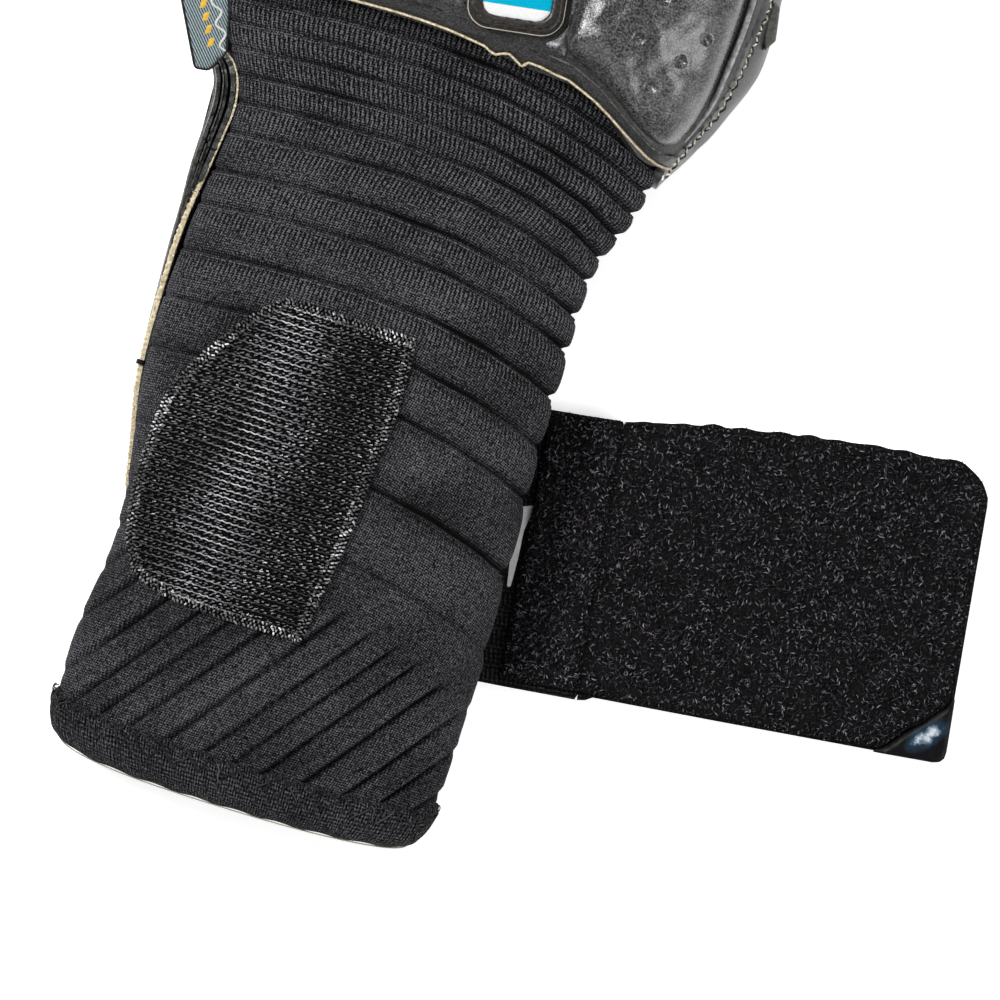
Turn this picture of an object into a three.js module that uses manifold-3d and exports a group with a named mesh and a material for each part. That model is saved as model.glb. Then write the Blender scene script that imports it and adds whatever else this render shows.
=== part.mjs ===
// Goalkeeper glove for the right hand, lying on its palm with the wrist strap opened out flat.
// Millimetres. +Y runs from the cuff to the fingertips, +Z out of the back of the hand,
// +X to the little finger side. The origin lies on the resting plane, under the wrist seam.
// Soft pieces are plain closed solids of their true size and place.

import * as THREE from 'three';
import { mergeVertices } from 'three/addons/utils/BufferGeometryUtils.js';
import Module from 'manifold-3d';

const wasm = await Module();
wasm.setup();

// ---------------------------------------------------------------- driving dimensions
const GAP = 0.3;
const LATEX = 4.0; // palm foam
const HEM_Y = -145; // open end of the cuff
const HEM_BAND = 9;
const CUFF_TOP_END_Y = 12; // where the knit ends inside the hand
const CUFF_WALL = 2.6;
const CUFF_ROUNDNESS = 2.4; // superellipse power of the cuff section
const HAND_WALL = 2.5;
const HAND_ROUNDNESS = 3.0;
const GUSSET_TOP = 13.7; // side walls end here and the backhand begins
const PATCH_THICKNESS = 1.9;
const STRAP_ANGLE = 8; // degrees towards the fingers
const STRAP_HALF = [26.2, 27.0]; // at the cuff: towards the hem, towards the fingers
const STRAP_FLARE = [1.2, 3.4]; // how much wider it is at the free end, on each side
const STRAP_LENGTH = 84;
const STRAP_ROOT = [39.6, -81.7]; // first fold line, at the cuff's little finger side
const STRAP_SIDE = 25.8; // between the two fold lines: the height of the cuff
const BAND_Z = [0.2, 1.6];
const LOOP_Z = [1.9, 3.9];
const STALL_HALF = 11.9; // half width of a finger at its root
const STALL_BULGE = 1.1; // how much wider its middle is, on each side
const STALL_WALL = 2.0;
const STALL_GUSSET_Z = [LATEX + GAP, 13.7];
const STALL_BACK = 4.0;
const STALL_CROWN = 4.2;

// Cuff section along its length: [y, thumb side x, little finger side x, underside z, top z]
const CUFF = [
  [-145, -35.8, 34.0, 0.4, 15.4],
  [-141, -37.4, 35.4, 0.4, 16.8],
  [-134, -38.2, 36.4, 0.6, 18.8],
  [-121, -38.4, 37.1, 1.4, 22.0],
  [-105, -37.0, 36.8, 2.8, 25.0],
  [-86, -39.2, 36.1, 4.4, 27.0],
  [-66, -40.9, 35.2, 4.4, 27.2],
  [-48, -40.6, 34.8, 4.4, 26.4],
  [-30, -39.6, 34.7, 4.4, 24.6],
  [-22, -38.9, 37.0, 4.4, 23.2],
  [-12, -38.6, 39.2, 4.4, 22.0],
  [0, -38.6, 38.6, 4.4, 22.0],
  [CUFF_TOP_END_Y, -38.4, 38.2, 4.4, 22.0],
];

// Outline of the hand: [y, thumb side x, little finger side x, top z]
const HAND = [
  [-14, -45.6, 40.8, 27.0],
  [-9, -46.2, 42.6, 27.0],
  [-4, -47.0, 45.4, 27.2],
  [4, -49.4, 49.4, 27.6],
  [10, -51.6, 51.6, 28.0],
  [18, -53.6, 52.2, 28.4],
  [32, -52.4, 52.4, 28.8],
  [48, -49.4, 52.2, 28.6],
  [66, -48.6, 51.6, 27.4],
  [84, -48.3, 50.2, 25.6],
  [96, -48.2, 49.6, 24.4],
];

// Fingers: name, middle of the root line, splay in degrees (positive to the little finger
// side), length, half width
const FINGERS = [
  ['index', [-36, 90], -6, 78, STALL_HALF],
  ['middle', [-11.5, 95], -1.5, 86, STALL_HALF],
  ['ring', [13, 94], 3.5, 79, STALL_HALF],
  ['little', [37.5, 87], 9, 64, STALL_HALF],
];
const THUMB = ['thumb', [-45, 25], -38, 75, 13.2];

// ---------------------------------------------------------------- colours
const BLACK_LATEX = { color: 0x17171a, roughness: 0.9 };
const BLACK_KNIT = { color: 0x18181b, roughness: 0.85 };
const BLACK_LEATHER = { color: 0x1b1b1e, roughness: 0.45 };
const BLACK_MESH = { color: 0x202024, roughness: 0.8 };
const BLACK_LOOP = { color: 0x0f0f12, roughness: 0.95 };
const BLACK_HOOK = { color: 0x121214, roughness: 0.4 };
const BLACK_RUBBER = { color: 0x0c0c0e, roughness: 0.3 };
const CREAM = { color: 0xcdbf9c, roughness: 0.9 };
const BADGE = { color: 0x2aa6d8, roughness: 0.35 };
const LABEL = { color: 0x5b6a78, roughness: 0.8 };

const glove = new THREE.Group();

function addMesh(name, geometry, look, parent = glove) {
  const mesh = new THREE.Mesh(geometry, new THREE.MeshStandardMaterial({ metalness: 0, ...look }));
  mesh.name = name;
  parent.add(mesh);
  return mesh;
}

// ---------------------------------------------------------------- solids
function toSolid(geometry) {
  const bare = geometry.clone();
  bare.deleteAttribute('normal');
  bare.deleteAttribute('uv');
  const merged = mergeVertices(bare, 1e-4);
  return new wasm.Manifold(
    new wasm.Mesh({
      numProp: 3,
      vertProperties: new Float32Array(merged.attributes.position.array),
      triVerts: new Uint32Array(merged.index.array),
    }),
  );
}

function toGeometry(solid) {
  const mesh = solid.getMesh();
  const geometry = new THREE.BufferGeometry();
  geometry.setAttribute('position', new THREE.BufferAttribute(mesh.vertProperties, 3));
  geometry.setIndex(new THREE.BufferAttribute(mesh.triVerts, 1));
  geometry.computeVertexNormals();
  return geometry;
}

function warp(geometry, place) {
  const position = geometry.attributes.position;
  for (let i = 0; i < position.count; i += 1) {
    const moved = place(position.getX(i), position.getY(i), position.getZ(i));
    position.setXYZ(i, ...moved);
  }
  return geometry;
}

function polygon(points) {
  return new THREE.Shape(points.map(([x, y]) => new THREE.Vector2(x, y)));
}

function plate(shape, z0, z1) {
  const geometry = new THREE.ExtrudeGeometry(shape, {
    depth: z1 - z0, bevelEnabled: false, curveSegments: 8,
  });
  geometry.translate(0, 0, z0);
  return geometry;
}

function prism(points, z0 = -5, z1 = 60) {
  return toSolid(plate(polygon(points), z0, z1));
}

// Value of a column of a station table at y, along straight lines between the stations.
function at(table, y, column) {
  const last = table.length - 1;
  const clamped = Math.min(Math.max(y, table[0][0]), table[last][0]);
  const i = Math.min(table.findIndex((row) => row[0] >= clamped - 1e-9) || 1, last);
  const [low, high] = [table[Math.max(i - 1, 0)], table[Math.max(i, 1)]];
  const t = (clamped - low[0]) / (high[0] - low[0]);
  return low[column] + t * (high[column] - low[column]);
}

function superellipse(angle, power) {
  const [c, s] = [Math.cos(angle), Math.sin(angle)];
  return [
    Math.sign(c) * Math.abs(c) ** (2 / power),
    Math.sign(s) * Math.abs(s) ** (2 / power),
  ];
}

// Closed ring section of the cuff at y, moved outwards by `out`.
function cuffPoint(y, angle, out) {
  const [x0, x1, z0, z1] = [1, 2, 3, 4].map((column) => at(CUFF, y, column));
  const [c, s] = superellipse(angle, CUFF_ROUNDNESS);
  return [(x0 + x1) / 2 + c * ((x1 - x0) / 2 + out), y, (z0 + z1) / 2 + s * ((z1 - z0) / 2 + out)];
}

// Arch section of the hand at y: it stands on the palm foam.
function handPoint(y, angle, out) {
  const [x0, x1, z1] = [1, 2, 3].map((column) => at(HAND, y, column));
  const foot = LATEX + GAP;
  const [c, s] = superellipse(angle, HAND_ROUNDNESS);
  return [(x0 + x1) / 2 + c * ((x1 - x0) / 2 + out), y, foot + s * (z1 - foot + out)];
}

// Loft of a ring or arch along the given stations, as a warped extrusion of a circle sector.
function loft(sectionPoint, ys, { from = 0, sweep = Math.PI * 2, sides = 40, inner = null, outer = 0 }) {
  const full = sweep > 6;
  const ring = (radius, reverse) => {
    const points = [];
    const count = full ? sides : sides + 1;
    for (let i = 0; i < count; i += 1) {
      const angle = from + (sweep * (reverse ? count - 1 - i : i)) / sides;
      points.push([radius * Math.cos(angle), radius * Math.sin(angle)]);
    }
    return points;
  };
  let shape;
  if (inner === null) {
    shape = polygon(ring(1, false));
  } else if (full) {
    shape = polygon(ring(1, false));
    shape.holes.push(new THREE.Path(ring(0.5, true).map(([x, y]) => new THREE.Vector2(x, y))));
  } else {
    shape = polygon([...ring(1, false), ...ring(0.5, true)]);
  }
  const steps = ys.length - 1;
  const geometry = new THREE.ExtrudeGeometry(shape, { depth: steps, steps, bevelEnabled: false });
  warp(geometry, (x, y, z) => {
    const out = Math.hypot(x, y) > 0.75 ? outer : inner;
    return sectionPoint(ys[Math.round(z)], Math.atan2(y, x), out);
  });
  return geometry;
}

// The mapping (x, y, along) -> (x, along, z) turns faces inside out, so the winding is flipped.
function flipped(geometry) {
  const flat = geometry.index ? geometry.toNonIndexed() : geometry;
  const position = flat.attributes.position;
  for (let i = 0; i < position.count; i += 3) {
    const [b, c] = [i + 1, i + 2].map((k) => [position.getX(k), position.getY(k), position.getZ(k)]);
    position.setXYZ(i + 1, ...c);
    position.setXYZ(i + 2, ...b);
  }
  return flat;
}

function stationsBetween(table, y0, y1) {
  return [y0, ...table.map((row) => row[0]).filter((y) => y > y0 + 1 && y < y1 - 1), y1];
}

function cuffTube(y0, y1, inner, outer, sides = 32) {
  return toSolid(flipped(loft(cuffPoint, stationsBetween(CUFF, y0, y1), { inner, outer, sides })));
}

function handArch(y0, y1, inner, outer, sides = 28) {
  const ys = stationsBetween(HAND, y0, y1);
  return toSolid(flipped(loft(handPoint, ys, { sweep: Math.PI, sides, inner, outer })));
}

// A layer lying on the back of the hand, between two heights above its surface.
function handLayer(outline, low, high) {
  const band = handArch(-14, 96, low, high);
  return band.intersect(prism(outline, GUSSET_TOP + GAP + 1, 60));
}

// ---------------------------------------------------------------- finger frame
function localPoint([, root, splay], across, along) {
  const a = THREE.MathUtils.degToRad(splay);
  return [
    root[0] + across * Math.cos(a) + along * Math.sin(a),
    root[1] - across * Math.sin(a) + along * Math.cos(a),
  ];
}

// Outline of a finger from its root line to the rounded tip, `inset` inside the edge.
function stallOutline(finger, inset = 0, start = 0) {
  const [, , , length, half] = finger;
  const r = half - inset;
  const side = [1, 2, 3].map((k) => [
    r + STALL_BULGE * Math.sin((Math.PI * k) / 4) ** 2,
    (k * (length - half)) / 4,
  ]);
  const points = [[r, start], ...side];
  for (let i = 0; i <= 10; i += 1) {
    const angle = (Math.PI * i) / 10;
    points.push([r * Math.cos(angle), length - half + r * Math.sin(angle)]);
  }
  points.push(...[...side].reverse().map(([across, along]) => [-across, along]), [-r, start]);
  return points.map(([across, along]) => localPoint(finger, across, along));
}

function inFingerFrame(finger, geometry) {
  const [, root, splay] = finger;
  geometry.rotateZ(-THREE.MathUtils.degToRad(splay));
  return geometry.translate(root[0], root[1], 0);
}

// Crowned back of a finger: an arch across, sinking at the tip.
function stallBack(finger) {
  const [, , , length, half] = finger;
  const block = new THREE.BoxGeometry(2 * half + 4, length + 2, 1, 8, 6, 1);
  warp(block, (x, y, z) => {
    const across = Math.min(Math.abs(x) / half, 1);
    const along = y + length / 2;
    const sink = Math.max(0, (along - (length - 2 * half)) / (2 * half)) ** 2;
    const crown = STALL_CROWN * (1 - across ** 2) * (1 - 0.55 * sink);
    return [x, along, STALL_GUSSET_Z[1] + GAP + crown + (z > 0 ? STALL_BACK * (1 - 0.25 * sink) : 0)];
  });
  return toSolid(inFingerFrame(finger, block)).intersect(prism(stallOutline(finger), 0, 60));
}

function addFinger(finger) {
  const name = finger[0] === 'thumb' ? 'thumb' : `finger_${finger[0]}`;
  addMesh(`${name}_latex`, plate(polygon(stallOutline(finger)), 0, LATEX), BLACK_LATEX);
  const ring = prism(stallOutline(finger), ...STALL_GUSSET_Z).subtract(
    prism(stallOutline(finger, STALL_WALL, -5)),
  );
  addMesh(`${name}_gusset`, toGeometry(ring), BLACK_MESH);
  addMesh(`${name}_back`, toGeometry(stallBack(finger)), BLACK_LEATHER);
}

// ---------------------------------------------------------------- palm
const rightEdge = [-9, -4, 4, 10, 18, 32, 48, 66, 84].map((y) => [at(HAND, y, 2), y]);
const fingerRoots = [...FINGERS].reverse().flatMap((finger) => [
  localPoint(finger, finger[4] + GAP, -GAP),
  localPoint(finger, -finger[4] - GAP, -GAP),
]);
const thumbInnerTop = localPoint(THUMB, THUMB[4] + GAP + STALL_BULGE, 24);
const palmOutline = [
  [30, -14], [28, -50], [-20, -55], [-33, -83], [-39.6, -83.2], [-42.4, -64], [-43.3, -52.5],
  [-44.5, -33], [-45.6, -14],
];
const thumbRoot = [
  localPoint(THUMB, -THUMB[4] - GAP, -GAP),
  localPoint(THUMB, THUMB[4] + GAP, -GAP),
];
const leftLower = [-9, -4, 4, 10].map((y) => [at(HAND, y, 1), y]);
const handOutline = [
  ...rightEdge, ...fingerRoots, [at(HAND, 84, 1), 84], [at(HAND, 66, 1), 66], thumbInnerTop,
  ...[...thumbRoot].reverse(), ...[...leftLower].reverse(),
];
addMesh('palm_latex', plate(polygon([...handOutline, ...[...palmOutline].reverse()]), 0, LATEX), BLACK_LATEX);

// ---------------------------------------------------------------- hand shell
const handShell = handArch(-14, 96, -HAND_WALL, 0);
const backhandOutline = [
  [60, -3], [43, -5.6], [30, -1.5], [14, 4], [0, 7], [-23, 8], [-60, 3], [-60, 16],
  ...thumbRoot, thumbInnerTop, [-48.2, 56], [-60, 56], [-60, 84], ...[...fingerRoots].reverse(), [60, 84],
];
const shellInOutline = handShell.intersect(prism(backhandOutline));
const sideBox = (x0, x1, y0, y1, z0, z1) => prism([[x0, y0], [x1, y0], [x1, y1], [x0, y1]], z0, z1);
addMesh('backhand_lining', toGeometry(
  shellInOutline.intersect(sideBox(-70, 70, -20, 120, GUSSET_TOP + GAP, 60))), BLACK_MESH);
addMesh('gusset_little_side', toGeometry(
  shellInOutline.intersect(sideBox(30, 70, -20, 120, 0, GUSSET_TOP))), BLACK_MESH);
addMesh('gusset_thumb_base', toGeometry(
  shellInOutline.intersect(sideBox(-70, -30, -20, 26, 0, GUSSET_TOP))), BLACK_MESH);
addMesh('gusset_index_side', toGeometry(
  shellInOutline.intersect(sideBox(-70, -30, 55, 120, 0, GUSSET_TOP))), BLACK_MESH);

// ---------------------------------------------------------------- panels of the backhand
addMesh('backhand_panel', toGeometry(handLayer([
  [17.2, 7.4], [9, 8.4], [0, 9.4], [-23, 10.4], [-40, 9], [-43.5, 12], thumbRoot[1], thumbInnerTop,
  [-47, 60], [-45.5, 66], [17.2, 66],
], GAP, GAP + 2.4)), BLACK_LEATHER);
addMesh('backhand_edge', toGeometry(handLayer([
  [38.5, -4.5], [32.4, -1.8], [26.5, 1.5], [18.4, 4.5], [9, 6.0], [0, 7.0], [-23, 8.3], [-40, 7.2],
  [-40, 8.7], [-23, 10.1], [0, 9.1], [9, 8.1], [17.2, 6.8], [24, 4.2], [30.3, 1.2], [34.4, -1.1],
  [38.5, -3.1],
], GAP, GAP + 1.4)), CREAM);
addMesh('side_pad', toGeometry(handLayer([
  [17.6, 8.2], [24, 5.3], [30.3, 2.2], [34.4, -0.1], [39, -1.8], [42, -0.8], [44.3, 3.8],
  [45.9, 9.5], [46.6, 16], [46.4, 30], [44, 66], [17.6, 66],
], GAP, GAP + 4.2)), BLACK_LEATHER);
addMesh('knuckle_pad', toGeometry(handLayer([
  [-43, 67.5], [41.5, 67.5], [39.5, 81], [26, 86], [13, 89], [-12, 90], [-26, 86.5], [-42, 84],
], GAP, GAP + 3.6)), BLACK_LEATHER);

const badgeCentre = [4.6, 21.8];
const BADGE_TURN = 9; // degrees
const BADGE_SIZE = [19, 24];
const BADGE_BORDER = 2.2;
function roundedRect([cx, cy], width, height, radius) {
  const turn = THREE.MathUtils.degToRad(BADGE_TURN);
  const points = [];
  for (const [sx, sy, start] of [[1, -1, -90], [1, 1, 0], [-1, 1, 90], [-1, -1, 180]]) {
    for (let step = 0; step <= 4; step += 1) {
      const angle = THREE.MathUtils.degToRad(start + (90 * step) / 4);
      const x = sx * (width / 2 - radius) + radius * Math.cos(angle);
      const y = sy * (height / 2 - radius) + radius * Math.sin(angle);
      points.push([
        cx + x * Math.cos(turn) - y * Math.sin(turn),
        cy + x * Math.sin(turn) + y * Math.cos(turn),
      ]);
    }
  }
  return points;
}
const badgeLow = 2 * GAP + 2.4;
const badgeInner = BADGE_SIZE.map((side) => side - 2 * BADGE_BORDER);
const badgeFrame = handLayer(roundedRect(badgeCentre, ...BADGE_SIZE, 4), badgeLow, badgeLow + 2.0)
  .subtract(prism(roundedRect(badgeCentre, ...badgeInner, 2.2)));
addMesh('badge_frame', toGeometry(badgeFrame), BLACK_RUBBER);
addMesh('badge_face', toGeometry(handLayer(
  roundedRect(badgeCentre, badgeInner[0] - 2 * GAP, badgeInner[1] - 2 * GAP, 1.9),
  badgeLow, badgeLow + 1.2)), BADGE);

// ---------------------------------------------------------------- fingers and thumb
for (const finger of [...FINGERS, THUMB]) {
  addFinger(finger);
}

// ---------------------------------------------------------------- cuff
const bandTop = HEM_Y + HEM_BAND;
addMesh('cuff_knit', toGeometry(
  cuffTube(bandTop + GAP, CUFF_TOP_END_Y, -CUFF_WALL, 0)), BLACK_KNIT);
addMesh('cuff_hem', toGeometry(cuffTube(HEM_Y, bandTop, -CUFF_WALL, 0.3)), BLACK_KNIT);

const patchOutline = [
  [-17, -50], [6.3, -51.6], [5.4, -80], [2.5, -111.7], [-29, -108.6], [-32.4, -107.2], [-33.6, -104],
  [-35.8, -76], [-31.7, -64],
];
const patchBand = cuffTube(-120, -40, GAP, GAP + PATCH_THICKNESS, 48);
addMesh('hook_patch', toGeometry(patchBand.intersect(prism(patchOutline, 16, 60))), BLACK_HOOK);

// ---------------------------------------------------------------- thumb side of the wrist
const trimPath = new THREE.CatmullRomCurve3(
  [[-39.3, -83], [-41.8, -66], [-41.7, -48], [-41.0, -34], [-40.5, -20], [-42.4, -10]].map(
    ([x, y]) => new THREE.Vector3(x, y, 7.1)),
);
addMesh('wrist_edge', new THREE.ExtrudeGeometry(
  polygon([[-0.75, -0.7], [0.75, -0.7], [0.75, 0.7], [-0.75, 0.7]]),
  { steps: 20, extrudePath: trimPath, bevelEnabled: false },
), CREAM);
addMesh('wrist_fold', plate(polygon([
  [-39.9, -82], [-38.6, -79], [-40.8, -64], [-40.4, -34], [-40.0, -14], [-44.2, -14], [-43.4, -33],
  [-42.6, -52.5], [-41.9, -66],
]), LATEX + GAP, LATEX + GAP + 1.5), BLACK_LATEX);
addMesh('woven_label', plate(polygon([
  [-45.6, -13.4], [-43.6, -9.2], [-46.4, 1.6], [-50.2, 3], [-52.4, 10], [-53.9, 14.6], [-62.6, 12.2],
  [-54.9, -2.3], [-48.6, -13.9],
]), LATEX + GAP + 5.2, LATEX + GAP + 6.4), LABEL);

// ---------------------------------------------------------------- wrist strap
// Along the strap from the first fold line; across it towards the fingers.
function strapPoint(along, across) {
  const a = THREE.MathUtils.degToRad(STRAP_ANGLE);
  return [
    STRAP_ROOT[0] + along * Math.cos(a) - across * Math.sin(a),
    STRAP_ROOT[1] + along * Math.sin(a) + across * Math.cos(a),
  ];
}
function strapPiece(outline, [z0, z1]) {
  return plate(polygon(outline.map(([along, across]) => strapPoint(along, across))), z0, z1);
}
// The strap's two long edges, moved inwards by `inset`
function hemEdge(along, inset = 0) {
  return [along, -STRAP_HALF[0] - STRAP_FLARE[0] * Math.max(along, 0) / STRAP_LENGTH + inset];
}
function fingerEdge(along, inset = 0) {
  const share = Math.min(Math.max(along, 0) / 60, 1);
  return [along, STRAP_HALF[1] + STRAP_FLARE[1] * share * (2 - share) - inset];
}
const sideEnd = STRAP_SIDE - GAP / 2;
const endStart = STRAP_SIDE + GAP / 2;
const tip = STRAP_LENGTH;
addMesh('strap_anchor', strapPiece(
  [hemEdge(-36), hemEdge(-GAP / 2), fingerEdge(-GAP / 2), fingerEdge(-36)], BAND_Z), BLACK_MESH);
addMesh('strap_band_side', strapPiece([
  hemEdge(GAP / 2, -1), hemEdge(14, -1), hemEdge(15.4), hemEdge(sideEnd), fingerEdge(sideEnd),
  fingerEdge(8), fingerEdge(GAP / 2),
], BAND_Z), BLACK_MESH);
addMesh('strap_band_end', strapPiece([
  hemEdge(endStart), hemEdge(tip - 3), [tip, hemEdge(tip)[1] + 3], [tip, fingerEdge(tip)[1] - 6],
  fingerEdge(tip - 5), fingerEdge(48), fingerEdge(36), fingerEdge(endStart),
], BAND_Z), BLACK_RUBBER);
addMesh('strap_loop_side', strapPiece([
  hemEdge(GAP / 2, 0.8), hemEdge(sideEnd, 0.8), fingerEdge(sideEnd, 0.4), fingerEdge(8, 0.4),
  fingerEdge(GAP / 2, 0.4),
], LOOP_Z), BLACK_LOOP);
addMesh('strap_loop_end', strapPiece([
  hemEdge(endStart, 0.8), hemEdge(tip - 13.6, 0.8), [tip - 0.8, hemEdge(tip)[1] + 11.5],
  [tip - 0.8, fingerEdge(tip)[1] - 6.4], fingerEdge(tip - 5.4, 0.4), fingerEdge(48, 0.4),
  fingerEdge(36, 0.4), fingerEdge(endStart, 0.4),
], LOOP_Z), BLACK_LOOP);
addMesh('strap_tab', strapPiece([
  hemEdge(tip - 13, 0.4), hemEdge(tip - 3.2, 0.4), [tip - 0.4, hemEdge(tip)[1] + 3.2],
  [tip - 0.4, hemEdge(tip)[1] + 11],
], [LOOP_Z[0], LOOP_Z[0] + 1.2]), BLACK_RUBBER);

export default glove;
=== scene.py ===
import math

import bpy
import numpy as np
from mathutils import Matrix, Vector
from mathutils.geometry import delaunay_2d_cdt


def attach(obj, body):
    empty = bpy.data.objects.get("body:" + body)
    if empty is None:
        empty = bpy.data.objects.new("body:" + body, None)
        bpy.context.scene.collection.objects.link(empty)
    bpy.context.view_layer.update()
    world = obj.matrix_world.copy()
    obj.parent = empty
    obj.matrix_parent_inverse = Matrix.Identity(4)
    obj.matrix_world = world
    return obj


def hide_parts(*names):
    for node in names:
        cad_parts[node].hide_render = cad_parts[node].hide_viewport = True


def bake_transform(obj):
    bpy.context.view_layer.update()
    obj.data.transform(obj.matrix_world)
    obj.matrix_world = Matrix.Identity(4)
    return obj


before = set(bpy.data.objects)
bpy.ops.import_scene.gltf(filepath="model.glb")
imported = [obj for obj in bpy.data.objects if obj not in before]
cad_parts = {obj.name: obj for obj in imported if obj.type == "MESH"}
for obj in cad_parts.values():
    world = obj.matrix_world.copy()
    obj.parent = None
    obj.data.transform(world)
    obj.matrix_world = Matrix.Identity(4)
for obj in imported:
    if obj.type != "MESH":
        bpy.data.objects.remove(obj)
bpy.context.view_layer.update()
MM = 0.001
rng = np.random.default_rng(23)

# ------------------------------------------------------------------ shader nodes
class Nodes:
    """Adds linked nodes to a shader tree."""

    def __init__(self, tree):
        self.tree = tree

    def add(self, kind, ins=None, out=0, **props):
        node = self.tree.nodes.new(kind)
        for key, value in props.items():
            setattr(node, key, value)
        for key, value in (ins or {}).items():
            if isinstance(value, bpy.types.NodeSocket):
                self.tree.links.new(value, node.inputs[key])
            else:
                node.inputs[key].default_value = value
        return node.outputs[out]

    def maths(self, operation, a, b=0.0):
        return self.add("ShaderNodeMath", {0: a, 1: b}, operation=operation)

    def plus(self, a, b):
        return self.maths("ADD", a, b)

    def times(self, a, b):
        return self.maths("MULTIPLY", a, b)

    def wave(self, value, length, operation="SINE"):
        return self.maths(operation, self.times(value, 2 * math.pi / length))

    def split(self, vector):
        node = self.tree.nodes.new("ShaderNodeSeparateXYZ")
        self.tree.links.new(vector, node.inputs[0])
        return node.outputs

    def ramp(self, value, stops):
        node = self.tree.nodes.new("ShaderNodeValToRGB")
        self.tree.links.new(value, node.inputs[0])
        ramp = node.color_ramp
        while len(ramp.elements) < len(stops):
            ramp.elements.new(0.5)
        for element, (at, colour) in zip(ramp.elements, stops):
            element.position = at
            element.color = (*colour, 1) if hasattr(colour, "__len__") else (colour,) * 3 + (1,)
        return node.outputs[0]

# ------------------------------------------------------------------ camera and light
VIEW_MM, LEVEL_MM, FAR_MM, LEAN = 190.0, 14.0, 3000.0, 17.7
camera_data = bpy.data.cameras.new("camera")
camera_data.sensor_width = 36.0
camera_data.lens = 36.0 * (FAR_MM - LEVEL_MM) / VIEW_MM
camera = bpy.data.objects.new("camera", camera_data)
camera.location = (0.0307, -0.075, FAR_MM * MM)
camera.rotation_euler = (0, 0, math.radians(LEAN))
bpy.context.scene.collection.objects.link(camera)
bpy.context.scene.camera = camera
bpy.context.scene.view_settings.view_transform = "Standard"

world = bpy.data.worlds.new("studio")
world.use_nodes = True
bpy.context.scene.world = world


def studio_dome(tree):
    """Bright softboxes round the sides, a darker ceiling."""
    sky = Nodes(tree)
    x, y, z = sky.split(sky.add("ShaderNodeTexCoord", out="Generated"))
    ceiling = sky.ramp(z, [(0.0, 0.6), (0.12, 0.85), (0.3, 1.2), (0.62, 1.08), (0.84, 0.55), (1.0, 0.45)])
    side = sky.plus(sky.times(x, -0.16), sky.times(y, 0.3))
    tree.links.new(sky.times(ceiling, sky.plus(side, 1.0)), tree.nodes["Background"].inputs["Strength"])

studio_dome(world.node_tree)


def area_light(name, place, size, watts, aim=(0.02, -0.03, 0)):
    data = bpy.data.lights.new(name, "AREA")
    data.size, data.energy = size, watts
    lamp = bpy.data.objects.new(name, data)
    lamp.location = place
    lamp.rotation_euler = (Vector(aim) - Vector(place)).to_track_quat("-Z", "Y").to_euler()
    bpy.context.scene.collection.objects.link(lamp)


area_light("key", (-0.75, 0.42, 1.0), 0.5, 10.0)
area_light("strip", (-0.76, 0.16, 1.02), 0.26, 7.0)
area_light("top", (0.25, 0.95, 0.9), 0.6, 4.0)
area_light("right", (0.95, -0.3, 0.8), 0.7, 7.5)
area_light("near", (-0.1, -0.95, 0.9), 0.7, 2.0)


# ------------------------------------------------------------------ looks
class Look(Nodes):
    """A procedural material, built node by node."""

    def __init__(self, name, rough, **sockets):
        self.material = bpy.data.materials.new(name)
        self.material.use_nodes = True
        super().__init__(self.material.node_tree)
        self.shader = self.tree.nodes["Principled BSDF"]
        self.shader.inputs["Roughness"].default_value = rough
        for key, value in sockets.items():
            self.shader.inputs[key.replace("_", " ")].default_value = value

    def attribute(self, name):
        return self.add("ShaderNodeAttribute", out="Fac", attribute_name=name)

    def span(self, value, low, high, to_low=0.0, to_high=1.0):
        return self.add("ShaderNodeMapRange", {0: value, 1: low, 2: high, 3: to_low, 4: to_high})

    def place(self):
        return self.add("ShaderNodeTexCoord", out="Object")

    def noise(self, scale, detail=2.0, rough=0.5):
        ins = {"Vector": self.place(), "Scale": scale, "Detail": detail, "Roughness": rough}
        return self.add("ShaderNodeTexNoise", ins)

    def cells(self, scale, feature="F1"):
        ins = {"Vector": self.place(), "Scale": scale}
        return self.add("ShaderNodeTexVoronoi", ins, feature=feature)

    def mix(self, factor, a, b):
        ins = {0: factor, 6: a, 7: b}
        return self.add("ShaderNodeMix", ins, out=2, data_type="RGBA")

    def colour(self, value):
        self.tree.links.new(value, self.shader.inputs["Base Color"])

    def rough(self, value, low, high):
        self.tree.links.new(self.span(value, 0.0, 1.0, low, high), self.shader.inputs["Roughness"])

    def bump(self, *layers):
        """layers: (height, distance in mm, strength), the coarsest first."""
        normal = None
        for height, distance, strength in layers:
            ins = {"Height": height, "Distance": distance * MM, "Strength": strength}
            if normal is not None:
                ins["Normal"] = normal
            normal = self.add("ShaderNodeBump", ins)
        self.tree.links.new(normal, self.shader.inputs["Normal"])
        return self.material


def grey(value, tint=1.0):
    return (value, value, value * tint)


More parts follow.
